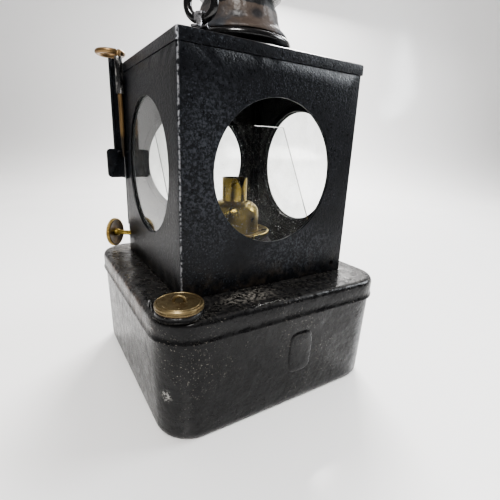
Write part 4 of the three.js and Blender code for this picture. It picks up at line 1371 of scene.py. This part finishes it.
class LAMP_OT_bail(Operator):
    """Build the bail handle and its two strap staples"""

    bl_idname = "lamp.bail"
    bl_label = "Bail"

    def execute(self, context):
        s = context.scene.lamp_fitting
        eye = 0.0073
        shoulder = 0.026
        crown = 0.050

        def on_hoop(along, height):
            return BAIL_AT + BAIL_AXIS * along + AXIS_Z * height

        leg = (eye - 0.0004, eye + 0.006, eye + 0.012)
        points = [on_hoop(-BAIL_REACH, h) for h in leg]
        points += [on_hoop(BAIL_REACH * math.cos(a), shoulder + crown * math.sin(a))
                   for a in spread(math.pi, 0, 16)]
        points += [on_hoop(BAIL_REACH, h) for h in reversed(leg)]
        parts = [tube("hoop", points, s.bail_wire)]
        for side in (-1, 1):
            loop = [on_hoop(side * BAIL_REACH, eye * math.cos(a)) + BAIL_SIDE * (eye * math.sin(a))
                    for a in round_circle(16)]
            parts.append(tube("loop", loop, s.bail_wire, cyclic=True))
        bail = joined("bail_wire", parts)
        finish(bail, "gloss", "bail", ("bail_handle",))
        for node, side in (("bail_staple_front", -1), ("bail_staple_rear", 1)):
            piece = self.staple(node, side)
            finish(piece, "strap", "lamp_body", (node,))
        return {"FINISHED"}

    def staple(self, node, side):
        """Bent strap whose feet turn out along the roof."""
        at = Vector((BAIL_AT.x, BAIL_AT.y, 0)) + BAIL_AXIS * (side * BAIL_REACH)
        half = 0.0033
        strap_thickness = 0.0012
        case = bpy.context.scene.lamp_case

        def roof_at(distance):
            p = at + BAIL_AXIS * distance
            deep = min(p.x - ROOF_LOW.x, ROOF_HIGH.x - p.x, p.y - ROOF_LOW.y, ROOF_HIGH.y - p.y, ROOF_DEPTH)
            return ROOF_LOW.z + case.skirt + deep * case.slope + 0.0009

        bend = node_box(node)[1].z - strap_thickness / 2 - 0.0020
        left = roof_at(-half)
        right = roof_at(half)
        path = [(-half - 0.0040, roof_at(-half - 0.0040)), (-half - 0.0008, left), (-half, left + 0.0010)]
        path += [(half * math.cos(a), bend + 0.0020 * math.sin(a)) for a in spread(math.pi, 0, 6)]
        path += [(half, right + 0.0010), (half + 0.0008, right), (half + 0.0040, roof_at(half + 0.0040))]
        rings = [[at + BAIL_AXIS * a + AXIS_Z * z + BAIL_SIDE * w for w in (-0.0020, 0.0020)] for a, z in path]
        strap = ribbon(node + "_strap", rings)
        wall = add_thickness(strap, strap_thickness, 0.0)
        wall.use_even_offset = False
        add_bevel(strap, 0.0002, 2, 50)
        strap = settle(strap)
        weld(strap)
        smooth(strap, 50)
        return strap


# ---- stage --------------------------------------------------------------------


CAMERA_AT = Vector((-0.1224, -0.2205, 0.1585))
CAMERA_RIGHT = Vector((0.8496, -0.5260, 0.0393))
CAMERA_AHEAD = Vector((0.5139, 0.8093, -0.2847))
CAMERA_LENS = 25.29
FLOOR_TURN = -32
BRIGHT_SIDE = Vector((0.45, 0.80, 0.40))


class LAMP_OT_stage(Operator):
    """Build the floor, soft lights and camera"""

    bl_idname = "lamp.stage"
    bl_label = "Stage"

    def execute(self, context):
        scene = context.scene
        rings = []
        for y, z in ((-1.6, 0), (0.9, 0), (1.15, 0.02), (1.32, 0.10), (1.42, 0.27), (1.45, 0.5), (1.45, 2.2)):
            rings.append([Vector((-2.4, y, z)), Vector((2.4, y, z))])
        sweep = ribbon("floor_sweep", rings)
        sweep.data.transform(Matrix.Rotation(math.radians(FLOOR_TURN), 4, "Z"))
        finer = sweep.modifiers.new("Round the sweep", "SUBSURF")
        finer.levels = 2
        finer.render_levels = 2
        smooth(sweep, 180)
        f = Finish("Pale floor")
        f.set(Base_Color=(0.91, 0.91, 0.91), Specular_IOR_Level=0.5,
              Roughness=f.band(f.noise(5, 2, 0.5), 0.3, 0.7, 0.12, 0.17))
        sweep.data.materials.append(f.material)

        world = bpy.data.worlds.new("Soft studio")
        world.use_nodes = True
        tree = world.node_tree
        sky = tree.nodes["Background"]
        sky.inputs[1].default_value = 1.0
        where = tree.nodes.new("ShaderNodeTexCoord").outputs["Generated"]
        toward = tree.nodes.new("ShaderNodeVectorMath")
        toward.operation = "DOT_PRODUCT"
        toward.inputs[1].default_value = BRIGHT_SIDE.normalized()
        tree.links.new(where, toward.inputs[0])
        ramp = tree.nodes.new("ShaderNodeValToRGB")
        dim, bright = ramp.color_ramp.elements
        dim.position = 0.10
        dim.color = (0.17, 0.165, 0.165, 1.0)
        bright.position = 0.85
        bright.color = (2.3, 2.3, 2.32, 1.0)
        ramp.color_ramp.elements.new(0.45).color = (0.55, 0.51, 0.49, 1.0)
        tree.links.new(toward.outputs["Value"], ramp.inputs[0])
        tree.links.new(ramp.outputs[0], sky.inputs[0])
        scene.world = world
        scene.view_settings.look = "AgX - Medium High Contrast"

        self.soft_light("key_light", (-0.55, -0.75, 1.15), (0.0, 0.0, 0.12), 0.35, 22.0, (1.0, 0.98, 0.95))
        self.soft_light("side_light", (1.15, -0.35, 0.75), (0.0, 0.0, 0.12), 0.5, 12.0, (0.92, 0.96, 1.0))
        self.soft_light("back_light", (0.75, 0.95, 1.05), (0.0, 0.0, 0.15), 0.6, 42.0, (1.0, 0.98, 0.96))

        lens = bpy.data.cameras.new("Camera")
        lens.sensor_width = 36.0
        lens.lens = CAMERA_LENS
        lens.clip_start = 0.01
        camera = bpy.data.objects.new("Camera", lens)
        scene.collection.objects.link(camera)
        right = CAMERA_RIGHT.normalized()
        ahead = CAMERA_AHEAD.normalized()
        up = right.cross(ahead).normalized()
        turn = Matrix((right, up, -ahead)).transposed().to_4x4()
        camera.matrix_world = Matrix.Translation(CAMERA_AT) @ turn
        scene.camera = camera
        return {"FINISHED"}

    def soft_light(self, name, at, target, size, power, colour):
        """Square area light aimed at a target."""
        light = bpy.data.lights.new(name, "AREA")
        light.size = size
        light.energy = power
        light.color = colour
        obj = bpy.data.objects.new(name, light)
        obj.location = at
        obj.rotation_euler = (Vector(target) - Vector(at)).to_track_quat("-Z", "Y").to_euler()
        bpy.context.scene.collection.objects.link(obj)


class LAMP_PT_panel(Panel):
    """Sidebar panel that lists the pieces"""

    bl_label = "Railway hand lamp"
    bl_idname = "LAMP_PT_panel"
    bl_space_type = "VIEW_3D"
    bl_region_type = "UI"
    bl_category = "Hand lamp"

    def draw(self, context):
        layout = self.layout
        for group in (context.scene.lamp_reservoir, context.scene.lamp_case,
                      context.scene.lamp_fitting, context.scene.lamp_finish):
            box = layout.box()
            for name in group.__annotations__:
                box.prop(group, name)
        for operator in OPERATORS:
            layout.operator(operator.bl_idname)


OPERATORS = (
    LAMP_OT_reservoir,
    LAMP_OT_filler,
    LAMP_OT_case,
    LAMP_OT_glass,
    LAMP_OT_burner,
    LAMP_OT_wick_drive,
    LAMP_OT_door,
    LAMP_OT_drop_pin,
    LAMP_OT_chimney,
    LAMP_OT_bail,
    LAMP_OT_stage,
)
SETTINGS = (
    ("lamp_reservoir", LampReservoirSettings),
    ("lamp_case", LampCaseSettings),
    ("lamp_fitting", LampFittingSettings),
    ("lamp_finish", LampFinishSettings),
)


def register():
    """Register the settings, operators and panel."""
    for name, settings in SETTINGS:
        bpy.utils.register_class(settings)
        setattr(bpy.types.Scene, name, PointerProperty(type=settings))
    for operator in OPERATORS:
        bpy.utils.register_class(operator)
    bpy.utils.register_class(LAMP_PT_panel)


def unregister():
    """Remove what register added."""
    bpy.utils.unregister_class(LAMP_PT_panel)
    for operator in reversed(OPERATORS):
        bpy.utils.unregister_class(operator)
    for name, settings in reversed(SETTINGS):
        delattr(bpy.types.Scene, name)
        bpy.utils.unregister_class(settings)


def main():
    """Build everything in order."""
    register()
    for operator in OPERATORS:
        group, name = operator.bl_idname.split(".")
        getattr(getattr(bpy.ops, group), name)()


if __name__ == "__main__":
    main()
